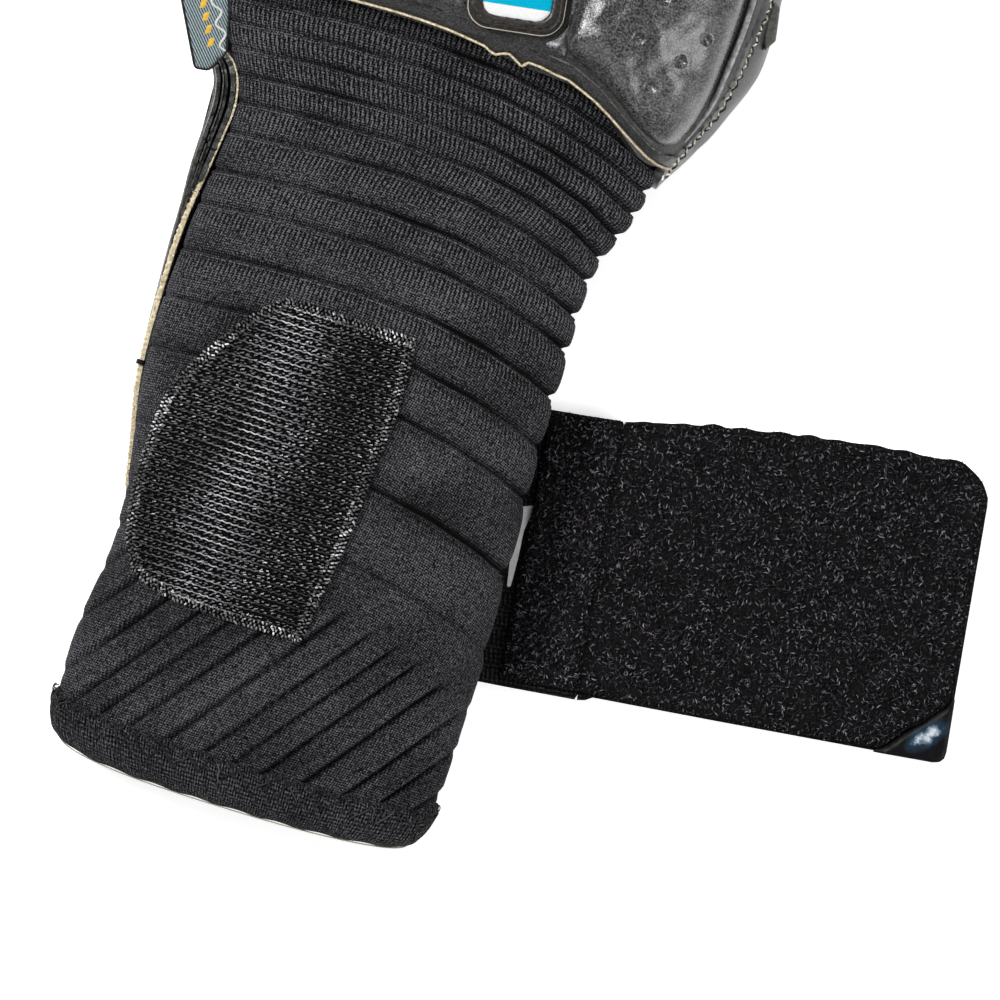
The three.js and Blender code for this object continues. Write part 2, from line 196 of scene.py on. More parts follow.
def knit_look(name, wale, course, dark, light):
    look = Look(name, 0.9, Specular_IOR_Level=0.08, Sheen_Weight=0.02, Sheen_Roughness=0.5)
    u, v, _ = look.split(look.add("ShaderNodeUVMap", uv_map="fabric"))
    # The tone attribute scales the colour: on the cuff it holds painted shade in the rib grooves and creases and
    # painted highlight on the ridges.
    shade = look.attribute("tone")
    dash = look.attribute("dash")
    wobble = look.noise(300.0, 2.0)
    u = look.plus(u, look.times(wobble, 0.3))
    wales = look.wave(u, wale, "COSINE")
    fine_u = look.wave(look.plus(u, look.times(v, 0.25)), course, "COSINE")
    fine_v = look.wave(look.plus(v, look.times(wobble, 0.2)), course, "COSINE")
    fine = look.times(look.plus(fine_u, fine_v), 0.25)
    height = look.plus(look.times(look.times(wales, dash), 0.5), fine)
    height = look.plus(height, 0.5)
    fuzz = look.noise(4200.0, 1.0)
    worn = look.noise(55.0, 3.0)
    uneven = look.span(look.noise(2700.0, 1.0), 0.32, 0.68, 0.2, 1.7)
    glint = look.span(look.noise(2100.0, 1.0), 0.62, 0.74, 0.0, 0.6)
    tone = look.times(height, uneven)
    tone = look.times(look.plus(tone, glint), look.plus(worn, 0.5))
    tone = look.times(tone, look.times(shade, 1.3))
    look.colour(look.ramp(tone, [(0.1, grey(dark, 1.08)), (0.42, grey(light * 0.36, 1.1)),
        (0.85, grey(light, 1.12)), (1.0, grey(light * 1.6, 1.1))]))
    return look.bump((height, 0.2, 1.0), (fuzz, 0.06, 0.5))


def leather_look(name, base, rough, grain=1.0, gloss=0.5):
    look = Look(name, rough, Specular_IOR_Level=gloss, Coat_Weight=0.22, Coat_Roughness=0.38)
    cells = look.cells(2700.0 / grain, "DISTANCE_TO_EDGE")
    pores = look.noise(3600.0 / grain, 2.0, 0.55)
    broad = look.noise(90.0, 3.0)
    creases = look.noise(320.0, 4.0, 0.62)
    grain_height = look.plus(look.maths("MINIMUM", look.times(cells, 6.0), 1.0), look.times(pores, 0.5))
    speckled = look.span(look.noise(2600.0 / grain, 2.0, 0.55), 0.39, 0.63, 0.0, 1.0)
    tone = look.times(speckled, look.plus(broad, 0.5))
    look.colour(look.ramp(tone, [(0.1, grey(base * 0.35, 1.04)), (0.45, grey(base * 0.9, 1.03)),
        (0.95, grey(base * 2.6, 1.02))]))
    look.rough(look.times(pores, broad), rough - 0.08, rough + 0.16)
    return look.bump((creases, 0.4, 0.22), (speckled, 0.03, 0.7), (grain_height, 0.02, 0.5))


def latex_look(name, base):
    look = Look(name, 0.86, Specular_IOR_Level=0.25)
    foam = look.cells(1900.0)
    skin = look.noise(700.0, 4.0, 0.65)
    worn = look.noise(60.0, 3.0)
    tone = look.plus(look.times(worn, 0.6), look.times(foam, 0.4))
    look.colour(look.ramp(tone, [(0.25, grey(base * 0.6)), (0.8, grey(base * 1.7, 1.05))]))
    return look.bump((skin, 0.25, 0.4), (foam, 0.1, 0.6))


def mesh_look(name, base):
    look = Look(name, 0.78, Specular_IOR_Level=0.3)
    holes = look.cells(820.0)
    pits = look.ramp(holes, [(0.28, 0.0), (0.5, 1.0)])
    threads = look.noise(2800.0, 2.0)
    look.colour(look.mix(pits, (*grey(base * 0.25), 1), look.ramp(threads,
        [(0.3, grey(base * 0.7)), (0.75, grey(base * 1.8, 1.06))])))
    return look.bump((pits, 0.22, 0.8), (threads, 0.06, 0.5))


def strand_look(name, stops, rough, gloss=0.5, **sockets):
    """Filaments and threads: each strand has its own tone."""
    look = Look(name, rough, Specular_IOR_Level=gloss, **sockets)
    tone = look.attribute("tone")
    twist = look.noise(3600.0, 2.0)
    mixed = look.plus(look.times(tone, 0.82), look.times(twist, 0.18))
    look.colour(look.ramp(mixed, stops))
    return look.bump((twist, 0.04, 0.4))


def plain_look(name, low, high, rough, scale=500.0, depth=0.05, gloss=0.5, **sockets):
    look = Look(name, rough, Specular_IOR_Level=gloss, **sockets)
    grain = look.noise(scale, 4.0, 0.6)
    look.colour(look.ramp(grain, [(0.3, low), (0.7, high)]))
    look.rough(grain, max(rough - 0.06, 0.03), rough + 0.1)
    return look.bump((grain, depth, 0.5))


KNIT = knit_look("ribbed_knit", 0.88, 0.47, 0.0008, 0.088)
HEM = knit_look("hem_knit", 0.62, 0.5, 0.0008, 0.074)
LEATHER = leather_look("grained_leather", 0.034, 0.3, 1.0, 0.65)
PAD_LEATHER = leather_look("padded_leather", 0.042, 0.27, 1.1, 1.0)
SIDE_LEATHER = leather_look("side_leather", 0.019, 0.4, 0.9, 0.45)
PIPING = leather_look("piping", 0.014, 0.24, 0.7, 0.7)
# Painted reflection: the black vinyl piping is coloured light grey where it would reflect the light.
SHINE = plain_look("piping_painted_reflection", grey(0.09), grey(0.42, 1.02), 0.25, 480.0, 0.04, 0.8)
LATEX = latex_look("foam_latex", 0.014)
MESH = mesh_look("air_mesh", 0.018)
HOOK_BASE = plain_look("hook_tape", grey(0.0012), grey(0.004, 1.1), 0.8, 1500.0, 0.15, 0.06)
HOOKS = strand_look("hook_filament", [(0.1, grey(0.003)), (0.36, grey(0.035, 1.06)), (0.62, grey(0.24, 1.05)),
    (0.9, grey(0.85, 1.03))], 0.35, 0.35)
SELVAGE = strand_look("selvage_filament", [(0.1, grey(0.01)), (0.4, grey(0.09)), (0.62, grey(0.35)),
    (0.9, grey(0.9, 1.02))], 0.45, 0.3)
LOOP_BASE = plain_look("loop_ground", grey(0.0006), grey(0.013, 1.05), 0.95, 1900.0, 0.35, 0.05)
LOOPS = strand_look("loop_pile", [(0.05, (0.002, 0.002, 0.002)), (0.3, (0.013, 0.011, 0.014)),
    (0.6, (0.085, 0.077, 0.09)), (0.98, (0.5, 0.47, 0.52))], 0.7, 0.12)
BAND = knit_look("strap_band", 0.9, 0.9, 0.002, 0.02)


# Painted reflection: a bluish-white mottled highlight painted into the moulded corner's black colour, placed by the
# tone attribute.
def painted_highlight_look():
    look = Look("moulded_corner", 0.45, Specular_IOR_Level=0.15)
    painted_highlight = look.attribute("tone")
    mottle = look.noise(640.0, 3.0, 0.7)
    highlight_patches = look.times(painted_highlight, look.plus(mottle, 0.28))
    look.colour(look.ramp(highlight_patches, [(0.3, (0.002, 0.002, 0.003)), (0.62, (0.012, 0.03, 0.05)),
        (0.74, (0.14, 0.19, 0.24)), (0.92, (0.55, 0.6, 0.66))]))
    return look.bump((mottle, 0.08, 0.4))


PAINTED_GLOSS = painted_highlight_look()
RUBBER = plain_look("badge_rubber", (0.004, 0.0035, 0.003), (0.04, 0.033, 0.03), 0.34, 1900.0, 0.08)
CREAM = plain_look("raw_edge_cream", (0.36, 0.27, 0.14), (0.86, 0.79, 0.60), 0.9, 1500.0, 0.2, 0.2)
THREAD = strand_look("dark_thread", [(0.1, grey(0.004)), (0.6, grey(0.022, 1.05)), (1.0, grey(0.12))], 0.7, 0.2)
PALE_THREAD = strand_look("pale_thread", [(0.1, grey(0.08)), (0.5, (0.42, 0.38, 0.30)), (1.0, (0.8, 0.76, 0.68))],
    0.55)
TAB = plain_look("woven_tab", grey(0.09), (0.2, 0.205, 0.17), 0.8, 1500.0, 0.15, 0.2)
# Painted highlight: the light grey edges of the leather folds stand for light caught on their rolled edges.
FOLD_EDGE_HIGHLIGHT = plain_look("fold_edge_painted_highlight", grey(0.02), (0.17, 0.168, 0.15), 0.7, 1300.0, 0.1, 0.2)
CREAM_BEAD = strand_look("bead_thread", [(0.1, (0.25, 0.23, 0.17)), (0.5, (0.75, 0.7, 0.56)),
    (0.9, (0.95, 0.93, 0.85))], 0.45)
PRINT = plain_look("white_print", grey(0.62), grey(0.78), 0.5, 800.0, 0.03)


def badge_face_look():
    look = Look("badge_face", 0.22, Coat_Weight=0.6, Coat_Roughness=0.08)
    x, y, _ = look.split(look.place())
    turn = math.radians(9)
    across = look.times(x, -math.sin(turn))
    along = look.plus(across, look.times(y, math.cos(turn)))
    bands = look.wave(look.maths("SUBTRACT", along, 0.0137), 0.0105)
    edge = look.ramp(look.plus(look.times(bands, 0.5), 0.5), [(0.49, 0.0), (0.53, 1.0)])
    speck = look.noise(2500.0, 2.0)
    white = look.ramp(speck, [(0.2, grey(0.72)), (0.8, grey(0.86))])
    cyan = look.ramp(speck, [(0.2, (0.0, 0.33, 0.50)), (0.8, (0.0, 0.42, 0.62))])
    look.colour(look.mix(edge, white, cyan))
    return look.bump((speck, 0.02, 0.3))


def label_look():
    look = Look("woven_label", 0.62, Specular_IOR_Level=0.35, Sheen_Weight=0.2)
    u, v, _ = look.split(look.add("ShaderNodeUVMap", uv_map="fabric"))
    slant = look.plus(look.times(u, 0.35), v)
    twill = look.wave(slant, 0.5)
    fine = look.wave(v, 0.28)
    height = look.plus(look.times(twill, 0.38), look.times(fine, 0.1))
    height = look.plus(height, 0.5)
    speck = look.noise(2600.0, 2.0)
    tone = look.plus(look.times(height, 0.75), look.times(speck, 0.25))
    look.colour(look.ramp(tone, [(0.28, (0.006, 0.018, 0.024)), (0.7, (0.30, 0.375, 0.39))]))
    return look.bump((height, 0.12, 0.8))


BADGE = badge_face_look()
LABEL = label_look()

floor_look = Look("paper_floor", 0.9, Specular_IOR_Level=0.1, Emission_Color=(1, 1, 1, 1), Emission_Strength=0.62)
floor_look.colour(floor_look.ramp(floor_look.noise(8.0, 2.0), [(0.3, grey(0.90)), (0.7, grey(0.92))]))


# ------------------------------------------------------------------ mesh helpers (millimetres)
def build(name, points, faces, look, uv=None, tone=None, smooth_angle=None):
    """A mesh object from points in mm and an array of quads or triangles."""
    points, faces = np.asarray(points, float).reshape(-1, 3), np.asarray(faces, int)
    mesh = bpy.data.meshes.new(name)
    mesh.vertices.add(len(points))
    mesh.vertices.foreach_set("co", (points * MM).astype(np.float32).ravel())
    corners = faces.shape[1]
    mesh.loops.add(faces.size)
    mesh.loops.foreach_set("vertex_index", faces.astype(np.int32).ravel())
    mesh.polygons.add(len(faces))
    mesh.polygons.foreach_set("loop_start", np.arange(0, faces.size, corners, dtype=np.int32))
    mesh.polygons.foreach_set("use_smooth", np.ones(len(faces), bool))
    mesh.update(calc_edges=True)
    if uv is not None:
        mesh.uv_layers.new(name="fabric").data.foreach_set("uv", np.asarray(uv, np.float32).ravel())
    if tone is None or isinstance(tone, np.ndarray):
        tone = {"tone": np.full(len(points), 0.6) if tone is None else tone}
    for key, values in {"dash": np.full(len(points), 0.5), **tone}.items():
        attribute = mesh.attributes.new(key, "FLOAT", "POINT")
        attribute.data.foreach_set("value", np.asarray(values, np.float32).ravel())
    if smooth_angle is not None:
        mesh.set_sharp_from_angle(angle=math.radians(smooth_angle))
    mesh.materials.append(look)
    piece = bpy.data.objects.new(name, mesh)
    bpy.context.scene.collection.objects.link(piece)
    return piece


def mesh_from_parts(parts):
    """Joins (points, faces) lists into one array pair."""
    points, faces, start = [], [], 0
    for p, f in parts:
        points.append(p)
        faces.append(np.asarray(f) + start)
        start += len(p)
    return np.concatenate(points), np.concatenate(faces)


def grid_quads(n, m, wrap_n, wrap_m):
    i, j = np.meshgrid(np.arange(n if wrap_n else n - 1), np.arange(m if wrap_m else m - 1), indexing="ij")
    i, j = i.ravel(), j.ravel()
    corners = [(i, j), (i + 1, j), (i + 1, j + 1), (i, j + 1)]
    faces = np.stack([(a % n) * m + (b % m) for a, b in corners], 1)
    return faces, corners


def grid_piece(name, points, look, uv, flip=False, tone=None):
    """A closed band of rings: points (n, m, 3), uv (n + 1, m + 1, 2)."""
    faces, corners = grid_quads(*points.shape[:2], True, True)
    coordinates = np.stack([uv[a, b] for a, b in corners], 1)
    if flip:
        faces, coordinates = faces[:, ::-1], coordinates[:, ::-1]
    return build(name, points, faces, look, uv=coordinates, tone=tone)

def unit(vectors):
    return vectors / (np.linalg.norm(vectors, axis=-1, keepdims=True) + 1e-9)

def strands(paths, radius, sides=5):
    """Tubes along paths (N, K, 3) with closed pointed ends; radius is a number, (N,) or (N, K)."""
    paths = np.asarray(paths, float)
    count, steps = paths.shape[:2]
    radius = np.broadcast_to(np.asarray(radius, float).reshape(-1, 1) if np.ndim(radius) == 1 else radius,
        (count, steps))
    tangent = unit(np.gradient(paths, axis=1))
    side = unit(np.cross(tangent, np.array([0.31, 0.23, 0.92])))
    up = np.cross(tangent, side)
    angle = np.arange(sides) * 2 * np.pi / sides
    ring = side[:, :, None] * np.cos(angle)[None, None, :, None] + up[:, :, None] * np.sin(angle)[None, None, :,
        None]
    points = (paths[:, :, None] + ring * radius[:, :, None, None]).reshape(-1, 3)
    n, k, s = np.meshgrid(np.arange(count), np.arange(steps - 1), np.arange(sides), indexing="ij")
    start = (n * steps + k) * sides
    t = (s + 1) % sides
    quads = np.stack([start + s, start + t, start + sides + t, start + sides + s], -1).reshape(-1, 4)
    tris = np.concatenate([quads[:, [0, 1, 2]], quads[:, [0, 2, 3]]])
    caps = []
    for row, order in ((0, (0, 2, 1)), (steps - 1, (0, 1, 2))):
        first = (np.arange(count) * steps + row) * sides
        for s in range(1, sides - 1):
            fan = np.stack([first, first + s, first + s + 1], 1)
            caps.append(fan[:, order])
    return points, np.concatenate([tris, *caps])


def strand_piece(name, groups, look, tones):
    """groups: list of (paths, radius, sides). tones: one value per strand, group by group."""
    parts, tone = [], []
    for (paths, radius, sides), values in zip(groups, tones):
        points, faces = strands(paths, radius, sides)
        parts.append((points, faces))
        tone.append(np.repeat(values, len(points) // np.size(values)))
    points, faces = mesh_from_parts(parts)
    return build(name, points, faces, look, tone=np.concatenate(tone))


def run_length(line):
    return np.r_[0, np.cumsum(np.linalg.norm(np.diff(line, axis=0), axis=1))]

def joined(line):
    return np.vstack([line, line[:1]])

def resample(line, step, closed=False):
    line = np.asarray(line, float)
    if closed:
        line = joined(line)
    length = run_length(line)
    count = max(int(round(length[-1] / step)), 3)
    at = np.linspace(0, length[-1], count + 1)
    if closed:
        at = at[:-1]
    return np.stack([np.interp(at, length, line[:, c]) for c in range(line.shape[1])], 1)


def smooth_line(line, rounds=2, closed=False):
    line = np.asarray(line, float)
    for _ in range(rounds):
        if closed:
            following = np.roll(line, -1, 0)
            line = np.stack([0.75 * line + 0.25 * following, 0.25 * line + 0.75 * following], 1).reshape(-1,
                line.shape[1])
        else:
            a, b = line[:-1], line[1:]
            middle = np.stack([0.75 * a + 0.25 * b, 0.25 * a + 0.75 * b], 1).reshape(-1, line.shape[1])
            line = np.vstack([line[:1], middle[1:-1], line[-1:]])
    return line


def rounded(outline, radius, steps=4):
    """The outline with each corner replaced by a short curve; radius is one number or one per corner."""
    outline = np.asarray(outline, float)
    radii = np.broadcast_to(radius, len(outline))
    result = []
    for before, corner, after, r in zip(np.roll(outline, 1, 0), outline, np.roll(outline, -1, 0), radii):
        back, ahead = before - corner, after - corner
        a = corner + back * min(r / np.linalg.norm(back), 0.45)
        b = corner + ahead * min(r / np.linalg.norm(ahead), 0.45)
        for t in np.linspace(0, 1, steps):
            result.append((1 - t) ** 2 * a + 2 * t * (1 - t) * corner + t * t * b)
    return np.array(result)


def distance(points, line, closed=False):
    line = np.asarray(line, float)
    ends = np.roll(line, -1, 0) if closed else line[1:]
    starts = line if closed else line[:-1]
    best = np.full(len(points), 1e9)
    for a, b in zip(starts, ends):
        d = b - a
        t = np.clip(((points - a) @ d) / max(d @ d, 1e-12), 0, 1)
        best = np.minimum(best, np.linalg.norm(points - a - t[:, None] * d, axis=1))
    return best


def inside(points, line):
    line = np.asarray(line, float)
    following = np.roll(line, -1, 0)
    hit = np.zeros(len(points), bool)
    for (x0, y0), (x1, y1) in zip(line, following):
        crosses = (y0 > points[:, 1]) != (y1 > points[:, 1])
        if abs(y1 - y0) > 1e-12:
            hit ^= crosses & (points[:, 0] < (x1 - x0) * (points[:, 1] - y0) / (y1 - y0) + x0)
    return hit


def fill_outline(outline, spacing, holes=()):
    """Points and triangles over an outline, and each point's distance from the edge."""
    rims = [resample(line, spacing, closed=True) for line in (outline, *holes)]
    low, high = rims[0].min(0), rims[0].max(0)
    rows = np.arange(low[1], high[1], spacing * 0.866)
    grid = np.concatenate([np.stack([np.arange(low[0] + (spacing / 2) * (k % 2), high[0], spacing),
        np.full_like(np.arange(low[0] + (spacing / 2) * (k % 2), high[0], spacing), y)], 1) for k,
        y in enumerate(rows)])
    keep = inside(grid, rims[0])
    for rim in rims[1:]:
        keep &= ~inside(grid, rim)
    grid = grid[keep]
    for rim in rims:
        grid = grid[distance(grid, rim, True) > spacing * 0.55]
    points = np.vstack([*rims, grid])
    edges, start = [], 0
    for rim in rims:
        k = len(rim)
        edges += [(start + i, start + (i + 1) % k) for i in range(k)]
        start += k
    found = delaunay_2d_cdt([Vector(p) for p in points], edges, [], 0, 1e-7)
    points = np.array([tuple(p) for p in found[0]])
    tris = np.array([f for f in found[2] if len(f) == 3])
    centre = points[tris].mean(1)
    keep = inside(centre, rims[0])
    for rim in rims[1:]:
        keep &= ~inside(centre, rim)
    tris = tris[keep]
    a, b, c = points[tris[:, 0]], points[tris[:, 1]], points[tris[:, 2]]
    turned = (b[:, 0] - a[:, 0]) * (c[:, 1] - a[:, 1]) - (b[:, 1] - a[:, 1]) * (c[:, 0] - a[:, 0]) < 0
    tris[turned] = tris[turned][:, ::-1]
    used = np.unique(tris)
    remap = -np.ones(len(points), int)
    remap[used] = np.arange(len(used))
    points, tris = points[used], remap[tris]
    edge = np.min([distance(points, rim, True) for rim in rims], axis=0)
    return points, tris, edge


def closed_between(points, tris, top, bottom):
    """Closed solid between two height fields over the same triangles."""
    n = len(points)
    verts = np.vstack([np.column_stack([points, top]), np.column_stack([points, bottom])])
    pairs = np.vstack([tris[:, [0, 1]], tris[:, [1, 2]], tris[:, [2, 0]]])
    keys = {tuple(p) for p in pairs}
    rim = np.array([p for p in pairs if (p[1], p[0]) not in keys])
    walls = np.vstack([np.stack([rim[:, 1], rim[:, 0], rim[:, 0] + n], 1),
        np.stack([rim[:, 1], rim[:, 0] + n, rim[:, 1] + n], 1),])
    return verts, np.vstack([tris, tris[:, ::-1] + n, walls])


def panel(name, outline, spacing, top, bottom, look, holes=(), place=None, smooth_angle=40, uv_turn=None):
    """A closed piece over an outline. top and bottom take (points, distance from the edge)."""
    points, tris, edge = fill_outline(outline, spacing, holes)
    verts, faces = closed_between(points, tris, top(points, edge), bottom(points, edge))
    flat = verts[:, :2].copy()
    if place is not None:
        verts = place(verts)
    uv = None
    if uv_turn is not None:
        c, s = math.cos(math.radians(uv_turn)), math.sin(math.radians(uv_turn))
        turned = np.stack([flat[:, 0] * c + flat[:, 1] * s, -flat[:, 0] * s + flat[:, 1] * c], 1)
        uv = turned[faces]
    return build(name, verts, faces, look, uv=uv, smooth_angle=smooth_angle)


def rounding(edge, radius):
    t = np.clip(edge / radius, 0, 1)
    return np.sqrt(np.clip(1 - (1 - t) ** 2, 0, 1))


def bell(value, width):
    return np.exp(-(value / width) ** 2)

def carve(relief, p, lines, depth, width, rounds=2):
    """The relief with a sewn groove along each line."""
    for line in lines:
        relief = relief - depth * bell(distance(p, smooth_line(line, rounds)), width)
    return relief

def bumps(p, size, seed):
    return ripple(p[:, 0], p[:, 1], size, seed)

def smoothstep(value, low, high):
    t = np.clip((value - low) / (high - low), 0, 1)
    return t * t * (3 - 2 * t)


def ripple(x, y, size, seed):
    """Smooth random relief, about -1 to 1, with features of that size."""
    source = np.random.default_rng(seed)
    total = np.zeros_like(np.asarray(x, float))
    for _ in range(9):
        angle, phase = source.uniform(0, 2 * np.pi, 2)
        wave = 2 * np.pi / (size * source.uniform(0.7, 1.7))
        total += np.sin((x * math.cos(angle) + y * math.sin(angle)) * wave + phase)
    return total / 4.2


def stitch_paths(line, pitch, length, lift, sink=0.25, steps=6, zigzag=0.0, jitter=0.12):
    """Dashes along a line (K, 3), each rising out of the surface and going back in."""
    line = resample(line, 0.25)
    along = np.arange(len(line)) * np.linalg.norm(np.diff(line, axis=0), axis=1).mean()
    sideways = np.cross(unit(np.gradient(line, axis=0)), [0, 0, 1.0])
    paths = []
    for k, start in enumerate(np.arange(0, along[-1] - length, pitch)):
        t = np.linspace(0, 1, steps)
        at = start + t * length * rng.uniform(0.85, 1.08)
        p = np.stack([np.interp(at, along, line[:, c]) for c in range(3)], 1)
        o = np.stack([np.interp(at, along, sideways[:, c]) for c in range(3)], 1)
        shift = rng.normal(0, jitter) + zigzag * (t - 0.5) * (1 if k % 2 else -1)
        p = p + o * np.reshape(shift, (-1, 1) if np.ndim(shift) else (1, 1))
        p[:, 2] += -sink + (lift + sink) * np.sin(np.pi * t) ** 0.6
        paths.append(p)
    return np.array(paths)


def stitches(name, lines, look, body, slot, pitch=2.6, length=2.0, radius=0.16, lift=0.22, **more):
    paths = np.concatenate([stitch_paths(line, pitch, length, lift, **more) for line in lines])
    piece = strand_piece(name, [(paths, radius, 6)], look, [rng.uniform(0.2, 0.9, len(paths))])
    return rides(piece, body, slot)


def fits(piece, slot, *nodes):
    if nodes:
        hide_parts(*nodes)
    return piece

def rides(piece, body, slot, *nodes):
    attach(piece, body)
    return fits(piece, slot, *nodes)


# ------------------------------------------------------------------ padding
def puffed(outline, seams, spacing=1.5, slack=0.05, pressure=4.0):
    """Cloth sewn down along its outline and its seams, blown up by simulation.
    Returns a function of (points, distance from the edge): 0 at the seams, 1 at the fullest."""
    points, tris, edge = fill_outline(outline, spacing)
    sewn = edge < 0.3 * spacing
    for line in seams:
        sewn |= distance(points, smooth_line(line, 2)) < 0.55 * spacing
    big = 100.0
    piece = build("padding_cloth", np.column_stack([points * big, np.zeros(len(points))]), tris, LEATHER)
    group = piece.vertex_groups.new(name="sewn")
    group.add([int(k) for k in np.flatnonzero(sewn)], 1.0, "REPLACE")
    cloth = piece.modifiers.new("cloth", "CLOTH")
    cloth.point_cache.frame_start, cloth.point_cache.frame_end = 1, 20
    cloth.collision_settings.use_collision = False
    cloth.settings.quality = 6
    cloth.settings.mass = 0.3
    cloth.settings.tension_stiffness = cloth.settings.compression_stiffness = 15
    cloth.settings.bending_stiffness = 0.2
    cloth.settings.shrink_min = cloth.settings.shrink_max = -slack
    cloth.settings.vertex_group_mass = "sewn"
    cloth.settings.use_pressure = True
    cloth.settings.uniform_pressure_force = pressure
    cloth.settings.effector_weights.gravity = 0
    for step in range(1, 21):
        bpy.context.scene.frame_set(step)
    blown = piece.evaluated_get(bpy.context.evaluated_depsgraph_get()).to_mesh()
    height = np.array([v.co[2] for v in blown.vertices]) / MM / big
    mesh = piece.data
    bpy.data.objects.remove(piece)
    bpy.data.meshes.remove(mesh)
    bpy.context.scene.frame_set(1)
    height = np.abs(height)
    height = np.clip(height / np.percentile(height, 97), 0, 1.2)

    def field(p, edge):
        result = np.zeros(len(p))
        for first in range(0, len(p), 2000):
            part = p[first:first + 2000]
            square = ((part[:, None] - points[None]) ** 2).sum(2)
            weight = np.exp(-square / (0.62 * spacing) ** 2)
            result[first:first + 2000] = (weight @ height) / (weight.sum(1) + 1e-12)
        return result
    return field


# ------------------------------------------------------------------ forms of cuff and hand
CUFF = np.array([[-150, -34.0, 32.4, 0.4, 14.2], [-145, -35.9, 34.1, 0.4, 15.4], [-141, -37.5, 35.6, 0.4, 16.8],
    [-134, -38.5, 36.7, 0.6, 18.8], [-126, -38.9, 37.2, 1.2, 20.6], [-116, -38.3, 37.3, 1.8, 23],
    [-104, -36.9, 37.2, 2.8, 25], [-94, -37.5, 36.8, 3.6, 26.2], [-86, -39.2, 36.5, 4.4, 27],
    [-78, -40.9, 36.2, 4.4, 27.2], [-70, -41.7, 35.6, 4.4, 27.2], [-58, -42.0, 35.3, 4.4, 27],
    [-48, -41.9, 35.0, 4.4, 26.4], [-40, -41.5, 34.7, 4.4, 25.4], [-32, -40.6, 34.7, 4.4, 24.8],
    [-26, -40.1, 35.2, 4.4, 24], [-19, -39.6, 38.6, 4.4, 23], [-14, -40.9, 39.9, 4.4, 22.4],
    [-10, -43.8, 40.4, 4.4, 22], [-4, -47.2, 40.4, 4.4, 22], [3, -48.9, 39.8, 4.4, 22],
    [12, -48.9, 39.4, 4.4, 22],])
HAND = np.array([[-14, -45.6, 38.6, 27.0], [-9, -46.2, 41.2, 27.0], [-4, -47.0, 44.2, 27.2], [1, -48.2, 46.8, 27.4],
    [7, -50.4, 49.6, 27.8], [12, -52.2, 51.7, 28.2], [16, -53.0, 53.0, 28.3], [20, -53.6, 53.6, 28.4],
    [32, -52.4, 53.0, 28.8], [48, -49.4, 52.2, 28.6], [66, -48.6, 51.6, 27.4], [84, -48.3, 50.2, 25.6],
    [96, -48.2, 49.6, 24.4],])
FOOT = 4.3


def softened(table, spread):
    ys = np.arange(table[0, 0] - 30, table[-1, 0] + 30, 0.5)
    kernel = np.exp(-0.5 * (np.arange(-40, 41) * 0.5 / spread) ** 2)
    kernel /= kernel.sum()
    columns = []
    for c in range(1, table.shape[1]):
        values = np.interp(ys, table[:, 0], table[:, c])
        columns.append(np.convolve(np.pad(values, 40, mode="edge"), kernel, "valid"))
    return ys, columns


CUFF_YS, CUFF_COLUMNS = softened(CUFF, 2.2)
HAND_YS, HAND_COLUMNS = softened(HAND, 3.0)


def power_curve(angle, power):
    c, s = np.cos(angle), np.sin(angle)
    return np.sign(c) * np.abs(c) ** (2 / power), np.sign(s) * np.abs(s) ** (2 / power)


def cuff_point(y, angle, out=0.0):
    x0, x1, z0, z1 = (np.interp(y, CUFF_YS, column) for column in CUFF_COLUMNS)
    c, s = power_curve(angle, 2.4)
    x = (x0 + x1) / 2 + c * ((x1 - x0) / 2 + out)
    return np.stack(np.broadcast_arrays(x, y, (z0 + z1) / 2 + s * ((z1 - z0) / 2 + out)), -1)


def cuff_top(x, y, out=0.0):
    x0, x1, z0, z1 = (np.interp(y, CUFF_YS, column) for column in CUFF_COLUMNS)
    a, b = (x1 - x0) / 2 + out, (z1 - z0) / 2 + out
    share = np.clip(np.abs((x - (x0 + x1) / 2) / a), 0, 0.999)
    return (z0 + z1) / 2 + b * (1 - share ** 2.4) ** (1 / 2.4)


def hand_top(x, y, out=0.0):
    x0, x1, z1 = (np.interp(y, HAND_YS, column) for column in HAND_COLUMNS)
    a, b = (x1 - x0) / 2 + out, z1 - FOOT + out
    share = np.clip(np.abs((x - (x0 + x1) / 2) / a), 0, 0.999)
    return FOOT + b * (1 - share ** 3) ** (1 / 3)


def lifted(line, out):
    """The flat line raised onto the back of the hand."""
    return np.column_stack([line, hand_top(line[:, 0], line[:, 1], out)])

# ------------------------------------------------------------------ cuff
VALLEYS = np.array([-97, -82, -67.5, -57.6, -48, -38.8, -32, -24.4, -18.5, -13.3, -8.4, -3.7, 1, 5.5, 10, 15])


def rib_shift(x):
    return np.interp(x, [-44, -25, -8, 8, 20, 30, 39], [0, 1.6, 2.2, 1.4, -0.8, -3.6, -7.2])


